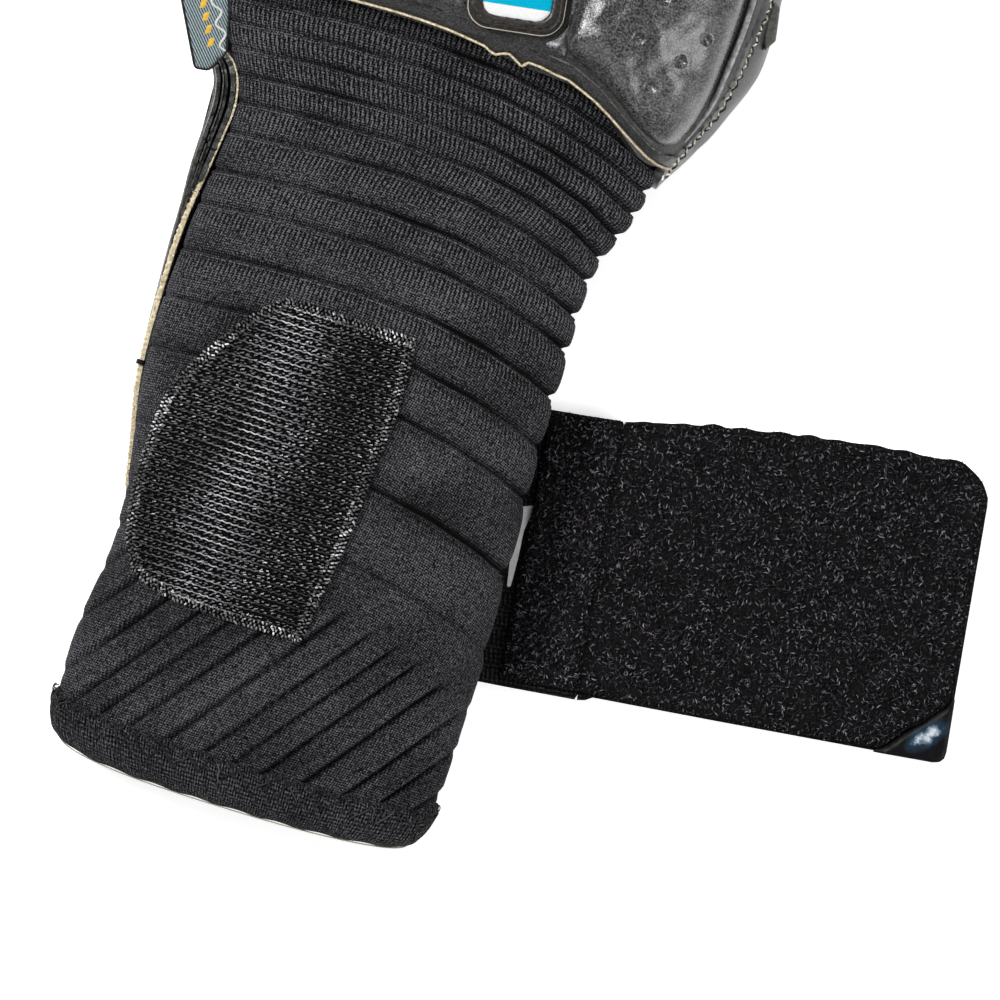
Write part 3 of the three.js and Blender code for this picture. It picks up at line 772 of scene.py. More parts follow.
def cuff_relief(x, w, y, upper):
    """How far the knit stands out of the cuff's plain form in mm; its tone, with painted shade in the rib grooves
    and pleat creases and painted highlight on the ridges and pleat crests; and how ribbed it is.
    """
    k = np.clip(np.searchsorted(VALLEYS, w) - 1, 0, len(VALLEYS) - 2)
    low, high = VALLEYS[k], VALLEYS[k + 1]
    t = np.clip((w - low) / (high - low), 0, 1)
    dip = 1 - np.sqrt(np.clip(1 - (2 * t - 1) ** 2, 0, 1))
    nearest = np.where(t < 0.5, w - low, w - high)
    depth = np.interp(x, [-42, -20, 0, 18, 30, 37], [0.30, 0.42, 0.62, 1.0, 1.45, 1.75])
    depth = np.where(upper, depth, 0.8)
    ribbed = smoothstep(w, -100, -93)
    groove = bell(nearest - 0.35, 0.42)
    valley = bell(nearest - 0.3, 0.95)
    second = bell(nearest + 1.05, 0.34)
    ridge = bell(nearest + 0.45, 0.36)
    uneven = (0.75 + 0.4 * ripple(x, w, 22, 6)) * np.interp(x, [-42, -15, 10, 30], [0.6, 0.75, 1.0, 1.1])
    relief = ribbed * (-depth * dip ** 1.25 - (0.62 * groove + 0.22 * second) * uneven + 0.12 * ridge)
    start = x - (y + 135) / 1.313
    phase = (start + 28.1 + 0.8 * np.sin(start * 0.21)) / 7.0
    away = (phase - np.round(phase)) * 7.0 * 0.79
    limit = np.interp(x, [-40, -10, 18, 36], [-88, -97, -104.5, -111])
    pleated = smoothstep(limit - y, -1, 6) * np.interp(np.abs(x), [30, 38], [1, 0.3])
    crease = bell(away, 0.5)
    crest = bell(away + 1.05, 0.6)
    relief += pleated * (-0.8 * crease + 0.32 * crest + 0.30 * (1 - (2 * (phase - np.floor(phase)) - 1) ** 2))
    # Painted shade and highlight: the tone is darker in the rib grooves, valleys and pleat creases and lighter on
    # the ridges, rib middles and pleat crests; the ripple term is the knit's own uneven tone.
    tone = 0.62 + 0.1 * ripple(x, y, 17, 9)
    tone += ribbed * (-(0.26 * groove + 0.3 * valley) * uneven - 0.2 * second * uneven
                      + 0.34 * ridge * (0.75 + 0.4 * ripple(x, w, 9, 7)) + 0.12 * (1 - dip) - 0.04)
    tone += pleated * (-0.5 * crease + 0.22 * crest)
    below = (t * (high - low) - (high - low))
    dash = ribbed * (0.25 + 0.75 * smoothstep(below, -5.5, -2.0) * (below < -0.8)) * np.interp(w, [-70, -45],
        [0.25, 1])
    relief += 0.16 * ripple(x, y, 26, 5) - 0.2
    return relief, np.clip(tone, 0.04, 1), np.clip(dash, 0.08, 1)


def make_cuff():
    at = np.linspace(-142, 13, 4000)
    close = np.min(np.abs(at[:, None] + 0.2 - VALLEYS[None]), axis=1)
    density = 1 + 3.2 * bell(close, 1.4) * (at > -99) + 0.4 * (at < -95)
    share = np.r_[0, np.cumsum(density[1:])]
    rows = 300
    ws = np.interp(np.linspace(0, share[-1], rows), share, at)
    ws = np.r_[ws, np.linspace(13, -142, 24)]
    half = np.linspace(0, np.pi, 231)[:-1]
    half = half - 0.10 * np.sin(2 * half)
    angle = np.r_[half, np.linspace(np.pi, 2 * np.pi, 71)[:-1]]
    columns = len(angle)
    w, a = np.meshgrid(ws, angle, indexing="ij")
    x = cuff_point(w, a)[..., 0]
    y = w + rib_shift(x) * smoothstep(w, -128, -96)
    base = cuff_point(y, a)
    outer = np.arange(len(ws))[:, None] < rows
    relief, tone, dash = cuff_relief(base[..., 0], w, y, np.sin(a) > -0.25)
    points = cuff_point(y, a, np.where(outer, relief, -2.4))
    middle = points[rows // 2]
    girth = run_length(joined(middle))
    uv = np.zeros((len(ws) + 1, columns + 1, 2))
    uv[..., 0] = girth[None, :]
    uv[..., 1] = np.r_[ws, ws[:1]][:, None]
    return grid_piece("cuff_ribbed_knit", points, KNIT, uv=uv, flip=True, tone={"tone": tone, "dash": dash})


rides(make_cuff(), "glove", "knit", "cuff_knit")

HEM_LOOP = [(0.0, 0.0), (0.03, 0.6), (0.16, 0.95), (0.5, 0.95), (0.76, 0.7), (0.92, 0.1), (1.0, -0.9), (0.95, -1.9),
    (0.75, -2.6), (0.4, -2.8), (0.1, -2.7), (0.0, -2.3), (-0.02, -1.2)]


def hem_edges(angle):
    top, under = np.clip(np.sin(angle), 0, 1) ** 0.8, np.clip(-np.sin(angle), 0, 1)
    x = np.cos(angle)
    upper = -134.3 - 3.9 * top - 0.8 * under + 0.5 * x * top
    lower = -142.6 - 4.0 * top - 1.2 * under + 0.55 * x * top
    return upper, lower


def make_hem():
    columns = 440
    angle = np.linspace(0, 2 * np.pi, columns, endpoint=False)
    belt = cuff_point(np.full(columns, -138.0), angle)
    girth = run_length(joined(belt))
    upper, lower = hem_edges(angle)
    g = girth[:-1]
    scallop = 0.6 * np.abs(np.sin(np.pi * g / 5.1)) ** 0.8 + 0.35 * np.sin(g * 0.83) + 0.2 * np.sin(g * 2.1)
    rows = []
    for k, (t, out) in enumerate(HEM_LOOP):
        weight = 1.0 if k in (0, 1, 12) else 0.35 if k in (2, 11) else 0.0
        lumps = 0.2 * np.sin(g * 2 * np.pi / 5.1 + k * 0.7) + 0.14 * np.sin(g * 1.7 + k) + 0.08 * np.sin(g * 4.3)
        y = upper + (lower - upper) * t + weight * scallop + 0.12 * np.sin(g * 0.7) * (k in (5, 6, 7))
        rows.append(cuff_point(y, angle, out + (lumps if 0 < k < 6 else 0)))
    points = np.array(rows)
    uv = np.zeros((len(rows) + 1, columns + 1, 2))
    uv[..., 0] = girth[None, :]
    uv[..., 1] = np.linspace(0, 20, len(rows) + 1)[:, None]
    hem = grid_piece("cuff_hem_band", points, HEM, uv=uv)
    subdivide(hem, 1)
    count = int(girth[-1] / 5.0)
    full = np.r_[angle, 2 * np.pi]
    paths, tones = [], []
    for k in range(count * 2):
        s0 = (k / 2) * girth[-1] / count + rng.normal(0, 0.3)
        t = np.linspace(0, 1, 9)
        s = s0 + (t + 0.12 * np.sin(np.pi * t * 2) * rng.normal()) * girth[-1] / count / 2
        down = np.array([0.04, 0.47]) + rng.normal(0, 0.04, 2)
        share = down[0] + (down[1] - down[0]) * (t if k % 2 == 0 else 1 - t)
        at = np.interp(s % girth[-1], girth, full)
        top, low = hem_edges(at)
        out = 1.05 + 0.18 * np.sin(np.pi * t) - 0.7 * np.abs(2 * t - 1) ** 6
        paths.append(cuff_point(top + (low - top) * share, at, out))
        tones.append(rng.uniform(0.25, 0.95) ** 1.5)
    loops = []
    for k in range(int(girth[-1] / 1.1)):
        s0 = k * 1.1 + rng.normal(0, 0.3)
        t = np.linspace(0, 1, 5)
        at = np.interp((s0 + t * rng.normal(0, 0.9)) % girth[-1], girth, full)
        top, low = hem_edges(at)
        loops.append(cuff_point(top + 0.5 - t * rng.uniform(0.7, 1.9), at, 0.75 + 0.45 * np.sin(np.pi * t)))
    zigzag = strand_piece("hem_zigzag_thread", [(np.array(paths), 0.15, 6), (np.array(loops), 0.11, 5)], THREAD,
        [np.array(tones), rng.uniform(0, 0.7, len(loops))])
    edge = cuff_point(hem_edges(angle)[1] - 0.05, angle, -0.95)
    edge = np.vstack([edge, edge[:2]])[None]
    lining = strand_piece("hem_pale_edge", [(edge, 0.15, 5)], PALE_THREAD, [0.5])
    for piece in (zigzag, lining):
        rides(piece, "glove", "knit")
    return hem


def subdivide(piece, levels):
    modifier = piece.modifiers.new("subdivision", "SUBSURF")
    modifier.levels = modifier.render_levels = levels
    apply_modifiers(piece)


def apply_modifiers(piece):
    graph = bpy.context.evaluated_depsgraph_get()
    mesh = bpy.data.meshes.new_from_object(piece.evaluated_get(graph))
    piece.modifiers.clear()
    piece.data = mesh


rides(make_hem(), "glove", "knit", "cuff_hem")

# ------------------------------------------------------------------ hook patch
PATCH = rounded([[-19.4, -50.6], [6.6, -50.8], [7.4, -64.6], [6.5, -76.2], [5.6, -92.5], [4.2, -102.4],
    [3.0, -112.4], [-12, -112.6], [-23.8, -111.9], [-31.2, -109.8], [-35.0, -103.7], [-36.8, -91.5], [-36.4, -80],
    [-35.6, -73.4], [-31.9, -66.1], [-24.9, -55.8]], [1.6, 0.8, 3, 3, 3, 3, 1.2, 3, 3, 3, 3, 3, 3, 3, 3, 3])


ROW_PITCH, THREAD_WAVE, HOOK_PITCH = 1.46, 1.42, 1.12


def make_patch():
    def top(p, edge):
        return cuff_top(p[:, 0], p[:, 1], 0.45) + 0.55 * rounding(edge, 0.9) + 0.05 * bumps(p, 5, 8)

    def bottom(p, edge):
        return cuff_top(p[:, 0], p[:, 1], -0.5)

    rides(panel("hook_patch_tape", PATCH, 0.9, top, bottom, HOOK_BASE), "glove", "hook", "hook_patch")
    ys = np.arange(-112.2, -50.6, ROW_PITCH)
    groups, tones = [], []
    for k, y in enumerate(ys):
        line = np.column_stack([np.linspace(-36.5, 6, 120), np.full(120, y)])
        keep = inside(line, PATCH) & (distance(line, PATCH, True) > 1.0)
        if keep.sum() < 6:
            continue
        line = resample(line[keep], 0.5)
        x = line[:, 0]
        wave = y + 0.13 * np.sin(x * 2 * np.pi / THREAD_WAVE + np.pi * k) + 0.1 * ripple(x, line[:, 1], 18, 15)
        z = cuff_top(x, wave, 1.22)
        # Painted highlight: the rows are lighter in a band left of the middle, where the woven base catches the
        # light.
        light = 0.24 + 0.66 * bell(x + 17.5 - 0.06 * (y + 80), 7.5) * rng.uniform(0.7, 1.0)
        light += rng.normal(0, 0.07, len(x))
        groups.append((np.column_stack([x, wave, z])[None], 0.15, 5))
        tones.append(np.clip(light, 0.05, 1))
    rides(strand_piece("hook_patch_rows", groups, HOOKS, tones), "glove", "hook")
    roots = []
    for k, y in enumerate(ys):
        x = np.arange(-38, 8.5, HOOK_PITCH) + (0.56 if k % 2 else 0)
        roots.append(np.stack([x, np.full(len(x), y + 0.86)], 1))
        roots.append(np.stack([x + 0.5, np.full(len(x), y + 0.42)], 1))
    roots = np.vstack(roots)
    roots += rng.normal(0, 0.06, roots.shape)
    roots = roots[inside(roots, PATCH)]
    roots = roots[distance(roots, PATCH, True) > 1.2]
    count = len(roots)
    t = np.linspace(0, 1, 6)
    side = np.where(rng.uniform(size=count) < 0.5, 1.0, -1.0)
    lean = rng.normal(0, 0.15, (count, 2))
    reach = rng.uniform(0.24, 0.34, count)
    tall = rng.uniform(0.75, 1.05, count)
    arc = np.pi * 1.15 * np.clip((t - 0.4) / 0.6, 0, 1)
    x = roots[:, :1] + side[:, None] * reach[:, None] * (1 - np.cos(arc))[None] * 0.8 + lean[:, :1] * t
    y = roots[:, 1:] + 0.2 * side[:, None] * t + lean[:, 1:] * t
    rise = np.minimum(t / 0.4, 1)[None] * (tall[:, None] - 0.4) + 0.4 * np.sin(arc)[None]
    z = cuff_top(roots[:, 0], roots[:, 1], 0.95)[:, None] + rise
    paths = np.stack(np.broadcast_arrays(x, y, z), -1)
    lit = 0.56 + 0.14 * bumps(roots, 16, 17) - 0.12 * smoothstep(-roots[:, 0], 20, 34)
    hooks = strand_piece("hook_patch_hooks", [(paths, 0.12, 4)], HOOKS,
        [np.clip(lit + rng.normal(0, 0.13, count), 0.05, 1)])
    rides(hooks, "glove", "hook")
    rim = resample(PATCH, 0.42, True)
    normal = np.gradient(rim, axis=0)[:, ::-1] * [1, -1]
    normal /= np.linalg.norm(normal, axis=1, keepdims=True)
    outward = np.where(inside(rim + normal * 0.5, PATCH)[:, None], -normal, normal)
    along = np.stack([-outward[:, 1], outward[:, 0]], 1)
    bright = 0.62 + 0.22 * bumps(rim, 14, 16)
    for x, y, size in ((1.5, -51.2, 4.2), (-29.6, -63.6, 3.2), (-35.6, -78.3, 3.0), (5.6, -92.5, 5.0),
                       (-2, -112.5, 3.0)):
        bright += 0.5 * np.exp(-(((rim[:, 0] - x) ** 2 + (rim[:, 1] - y) ** 2) / size ** 2))
    groups, tones = [], []
    for k, inset in enumerate((0.3, 0.95, 1.6)):
        picked = np.arange(k % 2, len(rim), 2)
        start = rim[picked] + rng.normal(0, 0.07, (len(picked), 2)) - outward[picked] * inset
        t = np.linspace(-1, 1, 4)
        turn = rng.normal(0.3, 0.5, (len(picked), 1, 1))
        p = start[:, None] + 0.2 * t[None, :, None] * (outward[picked][:, None] + along[picked][:, None] * turn)
        z = cuff_top(p[..., 0], p[..., 1], 1.08) + 0.12 + 0.16 * (1 - t[None] ** 2)
        groups.append((np.concatenate([p, z[..., None]], -1), 0.19, 5))
        tones.append(np.clip(rng.uniform(0.25, 1.1, len(picked)) * bright[picked], 0, 1))
    frayed = rng.choice(len(rim), 120)
    t = np.linspace(0, 1, 5)
    start = rim[frayed] - outward[frayed] * 0.5
    p = start[:, None] + t[None, :, None] * (outward[frayed] * rng.uniform(0.4, 0.8,
        (120, 1)) + along[frayed] * rng.normal(0, 0.5, (120, 1)))[:, None]
    z = cuff_top(p[..., 0], p[..., 1], 1.0) + 0.3 * np.sin(np.pi * t)[None]
    groups.append((np.concatenate([p, z[..., None]], -1), 0.06, 4))
    tones.append(rng.uniform(0.3, 0.9, 120) * bright[frayed])
    rides(strand_piece("hook_patch_selvage", groups, SELVAGE, tones), "glove", "hook")


make_patch()

# ------------------------------------------------------------------ wrist strap
STRAP_ROOT, STRAP_TURN, STRAP_SIDE = (39.6, -81.7), math.radians(8), 25.8
HALF, LENGTH = 25.5, 84.0


def strap_place(p):
    """(along, across, z) from the first fold line, to the glove's frame."""
    c, s = math.cos(STRAP_TURN), math.sin(STRAP_TURN)
    return np.stack([STRAP_ROOT[0] + p[:, 0] * c - p[:, 1] * s, STRAP_ROOT[1] + p[:, 0] * s + p[:, 1] * c, p[:, 2]],
        1)


def bend_strap(piece, joint, slot, *nodes):
    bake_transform(piece)
    return fits(piece, slot, *nodes)


def band_top(low, high):
    return lambda p, edge: low + (high - low) * rounding(edge, 0.7) + 0.06 * bumps(p, 9, 3)


MIDDLE = 13.0


def hem_edge(along, inset=0.0):
    return [along, -26.2 - 1.2 * max(along, 0) / LENGTH + inset]


def finger_edge(along, inset=0.0):
    edge = np.interp(along, [0, 14, 18, 22, 26, 30, 38, 46, 54, 70],
        [26.5, 26.6, 27.2, 27.9, 28.3, 28.6, 29.1, 29.6, 30.0, 30.1])
    return [along, edge - inset]


near_band = [hem_edge(-34), hem_edge(-1, -0.9), hem_edge(MIDDLE, -0.9), finger_edge(MIDDLE), finger_edge(6),
    finger_edge(-34)]
far_band = [hem_edge(MIDDLE, -0.9), hem_edge(14.2, -0.9), hem_edge(15.6, 0.1), hem_edge(40), hem_edge(LENGTH - 3.4),
    [LENGTH - 1.0, hem_edge(LENGTH)[1] + 0.7], [LENGTH, hem_edge(LENGTH)[1] + 3], [LENGTH, 0],
    [LENGTH, finger_edge(LENGTH)[1] - 6.5], [LENGTH - 1.4, finger_edge(LENGTH)[1] - 3.6],
    [LENGTH - 5.5, finger_edge(LENGTH)[1] - 0.5], finger_edge(60), finger_edge(45), finger_edge(30),
    finger_edge(20), finger_edge(MIDDLE)]
bend_strap(panel("strap_band_near", near_band, 1.6, band_top(1.0, 1.6), lambda p, e: 0.45 - 0.2 * rounding(e, 0.7),
    BAND, place=strap_place, uv_turn=0), 1, "strap_band", "strap_anchor", "strap_band_side")
bend_strap(panel("strap_band_far", far_band, 1.6, band_top(1.0, 1.6), lambda p, e: 0.45 - 0.2 * rounding(e, 0.7),
    BAND, place=strap_place, uv_turn=0), 2, "strap_band", "strap_band_end")

def woolly(outline, size):
    """The pile's edge wanders a little."""
    line = resample(outline, 0.9, True)
    shift = size * np.stack([bumps(line, 5, 91), bumps(line, 5, 92)], 1)
    seam = bell(line[:, :1] - MIDDLE, 1.0)
    return line + shift * (1 - seam)


near_loop = [hem_edge(-2.2, 0.9), hem_edge(MIDDLE, 0.7), finger_edge(MIDDLE), finger_edge(6), finger_edge(-1.0)]
far_loop = [hem_edge(MIDDLE, 0.7), hem_edge(40, 0.3), hem_edge(LENGTH - 13.0, 0.5),
    [LENGTH - 1.0, hem_edge(LENGTH)[1] + 11.2], [LENGTH - 0.3, 0], [LENGTH - 0.3, finger_edge(LENGTH)[1] - 6.6],
    [LENGTH - 1.8, finger_edge(LENGTH)[1] - 3.4], [LENGTH - 5.6, finger_edge(LENGTH)[1] - 0.2],
    finger_edge(60, -0.1), finger_edge(45, -0.1), finger_edge(30, -0.1), finger_edge(20), finger_edge(MIDDLE)]
near_loop, far_loop = woolly(near_loop, 0.14), woolly(far_loop, 0.3)


def pile(name, outline, count, joint, *nodes):
    def top(p, edge):
        return 2.5 + 0.55 * rounding(edge, 1.2) + 0.12 * bumps(p, 6, 12)

    ground = panel(name + "_ground", outline, 1.1, top, lambda p, e: np.full(len(p), 1.7), LOOP_BASE,
        place=strap_place)
    bend_strap(ground, joint, "loop", *nodes)
    low, high = np.min(outline, 0), np.max(outline, 0)
    roots = rng.uniform(low, high, (int(count * 1.25), 2))
    roots = roots[inside(roots, outline)][:count]
    edge = distance(roots, resample(outline, 4, True), True)
    n = len(roots)
    t = np.linspace(0, 1, 3)[None]
    heading = rng.uniform(0, 2 * np.pi, n)[:, None]
    curl = rng.normal(0, 1.5, n)[:, None]
    reach = (rng.uniform(0.4, 1.0, n) * np.clip(edge / 1.2, 0.3, 1))[:, None]
    angle = heading + curl * t
    step = np.stack([np.cos(angle), np.sin(angle)], -1) * (reach / 2)[..., None]
    p = roots[:, None] + np.cumsum(step, 1) - step[:, :1]
    z0 = 2.5 + 0.55 * rounding(edge, 1.2)
    tall = rng.uniform(0.2, 1.0, n)
    z = z0[:, None] + tall[:, None] * np.sin(np.pi * (0.1 + 0.85 * t)) - 0.1
    paths = strap_place(np.concatenate([p, z[..., None]], -1).reshape(-1, 3)).reshape(n, 3, 3)
    # Random tone per fibre; taller fibres are painted lighter, as painted light on the pile's top.
    tone = rng.uniform(0.05, 1, n) ** 1.1 * (0.45 + 0.55 * tall)
    fibres = strand_piece(name + "_fibres", [(paths, 0.092, 3)], LOOPS, [tone])
    bend_strap(fibres, joint, "loop")


pile("strap_loop_near", near_loop, 4200, 1, "strap_loop_side")
pile("strap_loop_far", far_loop, 14200, 2, "strap_loop_end")

low_corner = hem_edge(LENGTH)[1]
corner = rounded([[LENGTH - 14.0, low_corner - 0.1], [LENGTH + 0.2, low_corner - 0.2],
    [LENGTH + 0.1, low_corner + 12.6], [LENGTH - 0.7, low_corner + 12.0]], [0.6, 2.4, 0.4, 0.4])
hypotenuse = np.array([corner[1], corner[-2]])


def tab_top(p, e):
    buried = 1 - smoothstep(distance(p, hypotenuse), 0.2, 1.6)
    return 2.35 + 0.45 * rounding(e, 0.9) + 0.1 * bumps(p, 3.2, 4) * rounding(e, 3) - 0.75 * buried


tab = panel("strap_moulded_corner", corner, 0.5, tab_top, lambda p, e: 1.3 + 0 * e, PAINTED_GLOSS, place=strap_place)
# Painted highlight: the tone attribute puts a mottled bluish-white reflection in the middle of the corner, centred
# at glow.
spots = np.array([v.co[:] for v in tab.data.vertices]) / MM
glow = strap_place(np.array([[LENGTH - 4.0, low_corner + 4.6, 2.6]]))[0]
along_edge = np.array([math.cos(math.radians(48)), math.sin(math.radians(48))])
offset = spots[:, :2] - glow[:2]
lengthwise = offset @ along_edge
crosswise = offset @ np.array([-along_edge[1], along_edge[0]])
painted_highlight = 1.15 * np.exp(-(lengthwise / 5.2) ** 2 - (crosswise / 2.3) ** 2)
tab.data.attributes["tone"].data.foreach_set("value", painted_highlight.astype(np.float32))
rides(tab, "strap_end", "tpu", "strap_tab")

edge_line = resample([[2, -HALF - 0.6], [12.4, -HALF - 0.8]], 1)
edge_line = strap_place(np.column_stack([edge_line, np.full(len(edge_line), 1.65)]))
stitches("strap_end_bartack", [edge_line], THREAD, "strap_side", "strap_band", 1.6, 1.3, 0.12)
wedge = [[-1.0, 8.0], [-5.6, 6.8], [-4.3, 0.4], [-3.8, -8.2], [-3.1, -8.2], [-2.6, -2.6], [-2.4, 2.8]]
print_bar = panel("strap_print_bar", wedge, 0.6, lambda p, e: 1.66 + 0.1 * rounding(e, 0.3),
    lambda p, e: 1.5 + 0 * e, PRINT, place=strap_place)
rides(print_bar, "glove", "strap_band")

# ------------------------------------------------------------------ thumb side of the wrist
CREAM_LINE = np.array([[-37.3, -95, 8.0], [-38.3, -89, 9.5], [-39.9, -82, 11.6], [-41.2, -76, 12.6],
    [-42.1, -69, 13.2], [-42.5, -58, 13.4], [-42.6, -48, 13.5], [-42.2, -40, 13.5], [-41.2, -32.5, 13.5],
    [-40.4, -25, 13.5], [-39.8, -19.6, 13.5], [-40.7, -14.6, 13.5], [-42.4, -11.5, 13.2], [-44.2, -10.0, 12.4],
    [-46.2, -9.4, 11.2],])


def ribbon(name, line, width, tall, look, jag=0.0, seed=1, step=0.6, lean=0.0, profile=None):
    """A standing strip: width across, tall upwards, with an uneven top edge."""
    line = resample(smooth_line(line, 2), step)
    source = np.random.default_rng(seed)
    tangent = unit(np.gradient(line, axis=0)[:, :2])
    normal = np.stack([tangent[:, 1], -tangent[:, 0]], 1)
    wide = width * (1 + jag * source.normal(0, 0.35, len(line)))
    high = tall * (1 + jag * source.normal(0, 0.2, len(line)))
    if profile:
        high = high * profile(line[:, 1])
    fade = smoothstep(np.arange(len(line)), 0, 8) * smoothstep(len(line) - 1 - np.arange(len(line)), 0, 6)
    wide, high = wide * (0.25 + 0.75 * fade), high * (0.3 + 0.7 * fade)
    section = np.array([[-0.5, 0], [-0.5, 0.75], [-0.28, 1.0], [0.28, 1.0], [0.5, 0.75], [0.5, 0]])
    rows = []
    for across, up in section:
        offset = normal * (wide * across + lean * up)[:, None]
        rows.append(np.column_stack([line[:, :2] + offset, line[:, 2] + high * up]))
    points = np.array(rows)
    body = grid_quads(len(section), len(line), True, False)[0]
    flat = points.reshape(-1, 3)
    n = len(line)
    caps = []
    for k, flip in ((0, False), (n - 1, True)):
        ids = [r * n + k for r in range(len(section))]
        for r in range(1, len(section) - 1):
            tri = [ids[0], ids[r], ids[r + 1]]
            caps.append(tri[::-1] if flip else tri)
    tris = np.vstack([body[:, [0, 1, 2]], body[:, [0, 2, 3]], np.array(caps)])
    return build(name, flat, tris, look, smooth_angle=50)


def wall(name, shift, tall, width, look, *nodes, seed=0, first=2, base=3.2, jag=0.08):
    """A standing layer of the palm's edge, following the cream edge at a distance to its left."""
    line = CREAM_LINE[first:].copy()
    span = np.interp(line[:, 1], [-80, -62, -41, -33, -18, -12], [0.05, 0.12, 0.36, 0.72, 1.0, 0.9])
    line[:, 0] -= shift * span
    line[:, 1] -= 0.25 * shift * smoothstep(line[:, 1], -20, -10)
    high = tall > 2

    def profile(y):
        return np.interp(y, [-86, -76, -62, -46, -34], [0.3, 0.5, 0.66, 0.84, 1.0])

    line[:, 2] = base if high else base - 11 * (1 - profile(line[:, 1]))
    piece = ribbon(name, line, width, tall, look, jag=jag, seed=seed, lean=0.25, profile=profile if high else None)
    return rides(piece, "glove", "latex", *nodes)


rides(ribbon("wrist_raw_edge", CREAM_LINE, 0.5, 1.9, CREAM, jag=0.35, seed=4, step=0.35), "glove", "raw_edge",
    "wrist_edge")
rides(ribbon("wrist_raw_edge_low", CREAM_LINE[:9] - [0.3, 0, 0.3], 1.1, 1.9, CREAM, jag=0.45, seed=5, step=0.35),
    "glove", "raw_edge")
wall("wrist_fold_inner", 1.15, 12.1, 1.6, SIDE_LEATHER, "wrist_fold", seed=6)
wall("wrist_fold_middle", 2.55, 11.7, 0.9, SIDE_LEATHER, seed=7, first=4)
wall("wrist_fold_middle_edge", 3.15, 12.2, 0.35, FOLD_EDGE_HIGHLIGHT, seed=8, first=4, jag=0.3)
wall("wrist_fold_outer", 4.15, 11.6, 1.3, SIDE_LEATHER, seed=9, first=4)
wall("wrist_fold_light_edge", 4.75, 0.5, 0.2, FOLD_EDGE_HIGHLIGHT, seed=10, first=4, base=14.3, jag=0.4)
notch = [[[-43.0, y, 14.4], [-42.7, y, 15.4], [-41.9, y, 15.5], [-41.5, y + 0.1, 15.0]] for y in (-71.1, -70.8,
    -70.5)]
rides(strand_piece("wrist_edge_bartack", [(np.array(notch), 0.2, 6)], THREAD, [np.array([0.1, 0.2, 0.1])]), "glove",
    "latex")
wall("wrist_inner_face", -0.6, 9.4, 0.8, LATEX, seed=11)


label_outline = [[-48.6, -13.9], [-45.9, -13.5], [-43.7, -9.4], [-45.2, -3], [-46.9, 2.2], [-50.6, 5],
    [-52.8, 10.6], [-54.4, 15], [-62.4, 12.4], [-58.5, 4.4], [-54.9, -2.3]]
label_outline = (rounded(label_outline, 0.7) - [0.9, 0.5]).tolist()


def label_height(p):
    bow = 0.5 * np.sin((p[:, 1] + 14) * 0.16) + 0.35 * smoothstep(-p[:, 0], 44, 60)
    return 14.6 + bow


label = panel("woven_side_label", label_outline, 0.8, lambda p, e: label_height(p) + 0.35 * rounding(e, 0.5),
    lambda p, e: label_height(p) - 0.45, LABEL, uv_turn=-28)
rides(label, "glove", "label", "woven_label")


def on_label(points):
    points = np.asarray(points, float)
    z = label_height(points) + 0.38
    return np.column_stack([points, z])


yellow = strand_look("yellow_thread", [(0.1, (0.35, 0.19, 0.01)), (0.9, (0.78, 0.46, 0.03))], 0.6)
white = strand_look("white_thread", [(0.1, grey(0.25)), (0.9, grey(0.66))], 0.6)
axis, perp = np.array([-0.477, 0.879]), np.array([0.879, 0.477])
root = np.array([-48.6, -13.9])


def label_marks(name, look, across, pitch, size, first, count):
    parts = []
    for k in range(count):
        a = first + k * pitch
        middle = root + axis * (a + size[1] / 2) + perp * across
        corners = [middle + axis * u * size[1] / 2 + perp * (v * size[0] / 2 + 0.35 * u) for u,
            v in ((-1, -1), (-1, 1), (1, 1), (1, -1))]
        points, tris, edge = fill_outline(np.array(corners), 0.3)
        z = label_height(points) + 0.36
        parts.append(closed_between(points, tris, z + 0.12 * rounding(edge, 0.15), z - 0.1))
    points, faces = mesh_from_parts(parts)
    rides(build(name, points, faces, look, tone=rng.uniform(0.5, 0.9, len(points)), smooth_angle=40), "glove",
        "label")


label_marks("label_yellow_marks", yellow, 2.9, 2.5, (1.1, 1.5), 3.4, 10)
wave_line = np.array([root + axis * a + perp * (5.2 + 0.75 * math.sin(a * 1.5)) for a in np.arange(2.0, 15.5,
    0.25)])
rides(strand_piece("label_white_wave", [(on_label(wave_line)[None], 0.26, 6)], white, [0.8]), "glove", "label")
label_rim = joined(label_outline)
rim_line = resample(label_rim, 0.4)
rides(strand_piece("label_dark_rim", [(on_label(rim_line)[None], 0.22, 5)], THREAD, [0.3]), "glove", "label")

# ------------------------------------------------------------------ hand shell
FINGERS = {"finger_index": ((-36, 90), -6, 78, 11.9), "finger_middle": ((-11.5, 95), -1.5, 86, 11.9),
    "finger_ring": ((13, 94), 3.5, 79, 11.9), "finger_little": ((37.5, 87), 9, 64, 11.9),
    "thumb": ((-45, 25), -38, 75, 13.2),}


def stall_place(finger):
    (cx, cy), splay, _, _ = FINGERS[finger]
    c, s = math.cos(math.radians(splay)), math.sin(math.radians(splay))

    def place(p):
        return np.stack([cx + p[:, 0] * c + p[:, 1] * s, cy - p[:, 0] * s + p[:, 1] * c, p[:, 2]], 1)
    return place


def front_edge(shift):
    ends = []
    for name in list(FINGERS)[:4]:
        half = FINGERS[name][3] + 0.2
        ends.append(stall_place(name)(np.array([[-half, shift, 0], [half, shift, 0]]))[:, :2])
    return np.vstack(ends)


LOWER_EDGE = np.array([[-58, 3], [-46, 5.4], [-23, 6.3], [-11.5, 6.4], [0, 6.0], [5, 5.0], [10, 4.4], [18.4, 3.9],
    [25, 1.8], [32, -2.2], [37.5, -5.2], [40.5, -5.9], [42.6, -5.6], [43.7, -5.8], [44.6, -7.4], [45.1, -9.6],
    [60, -9.6]])


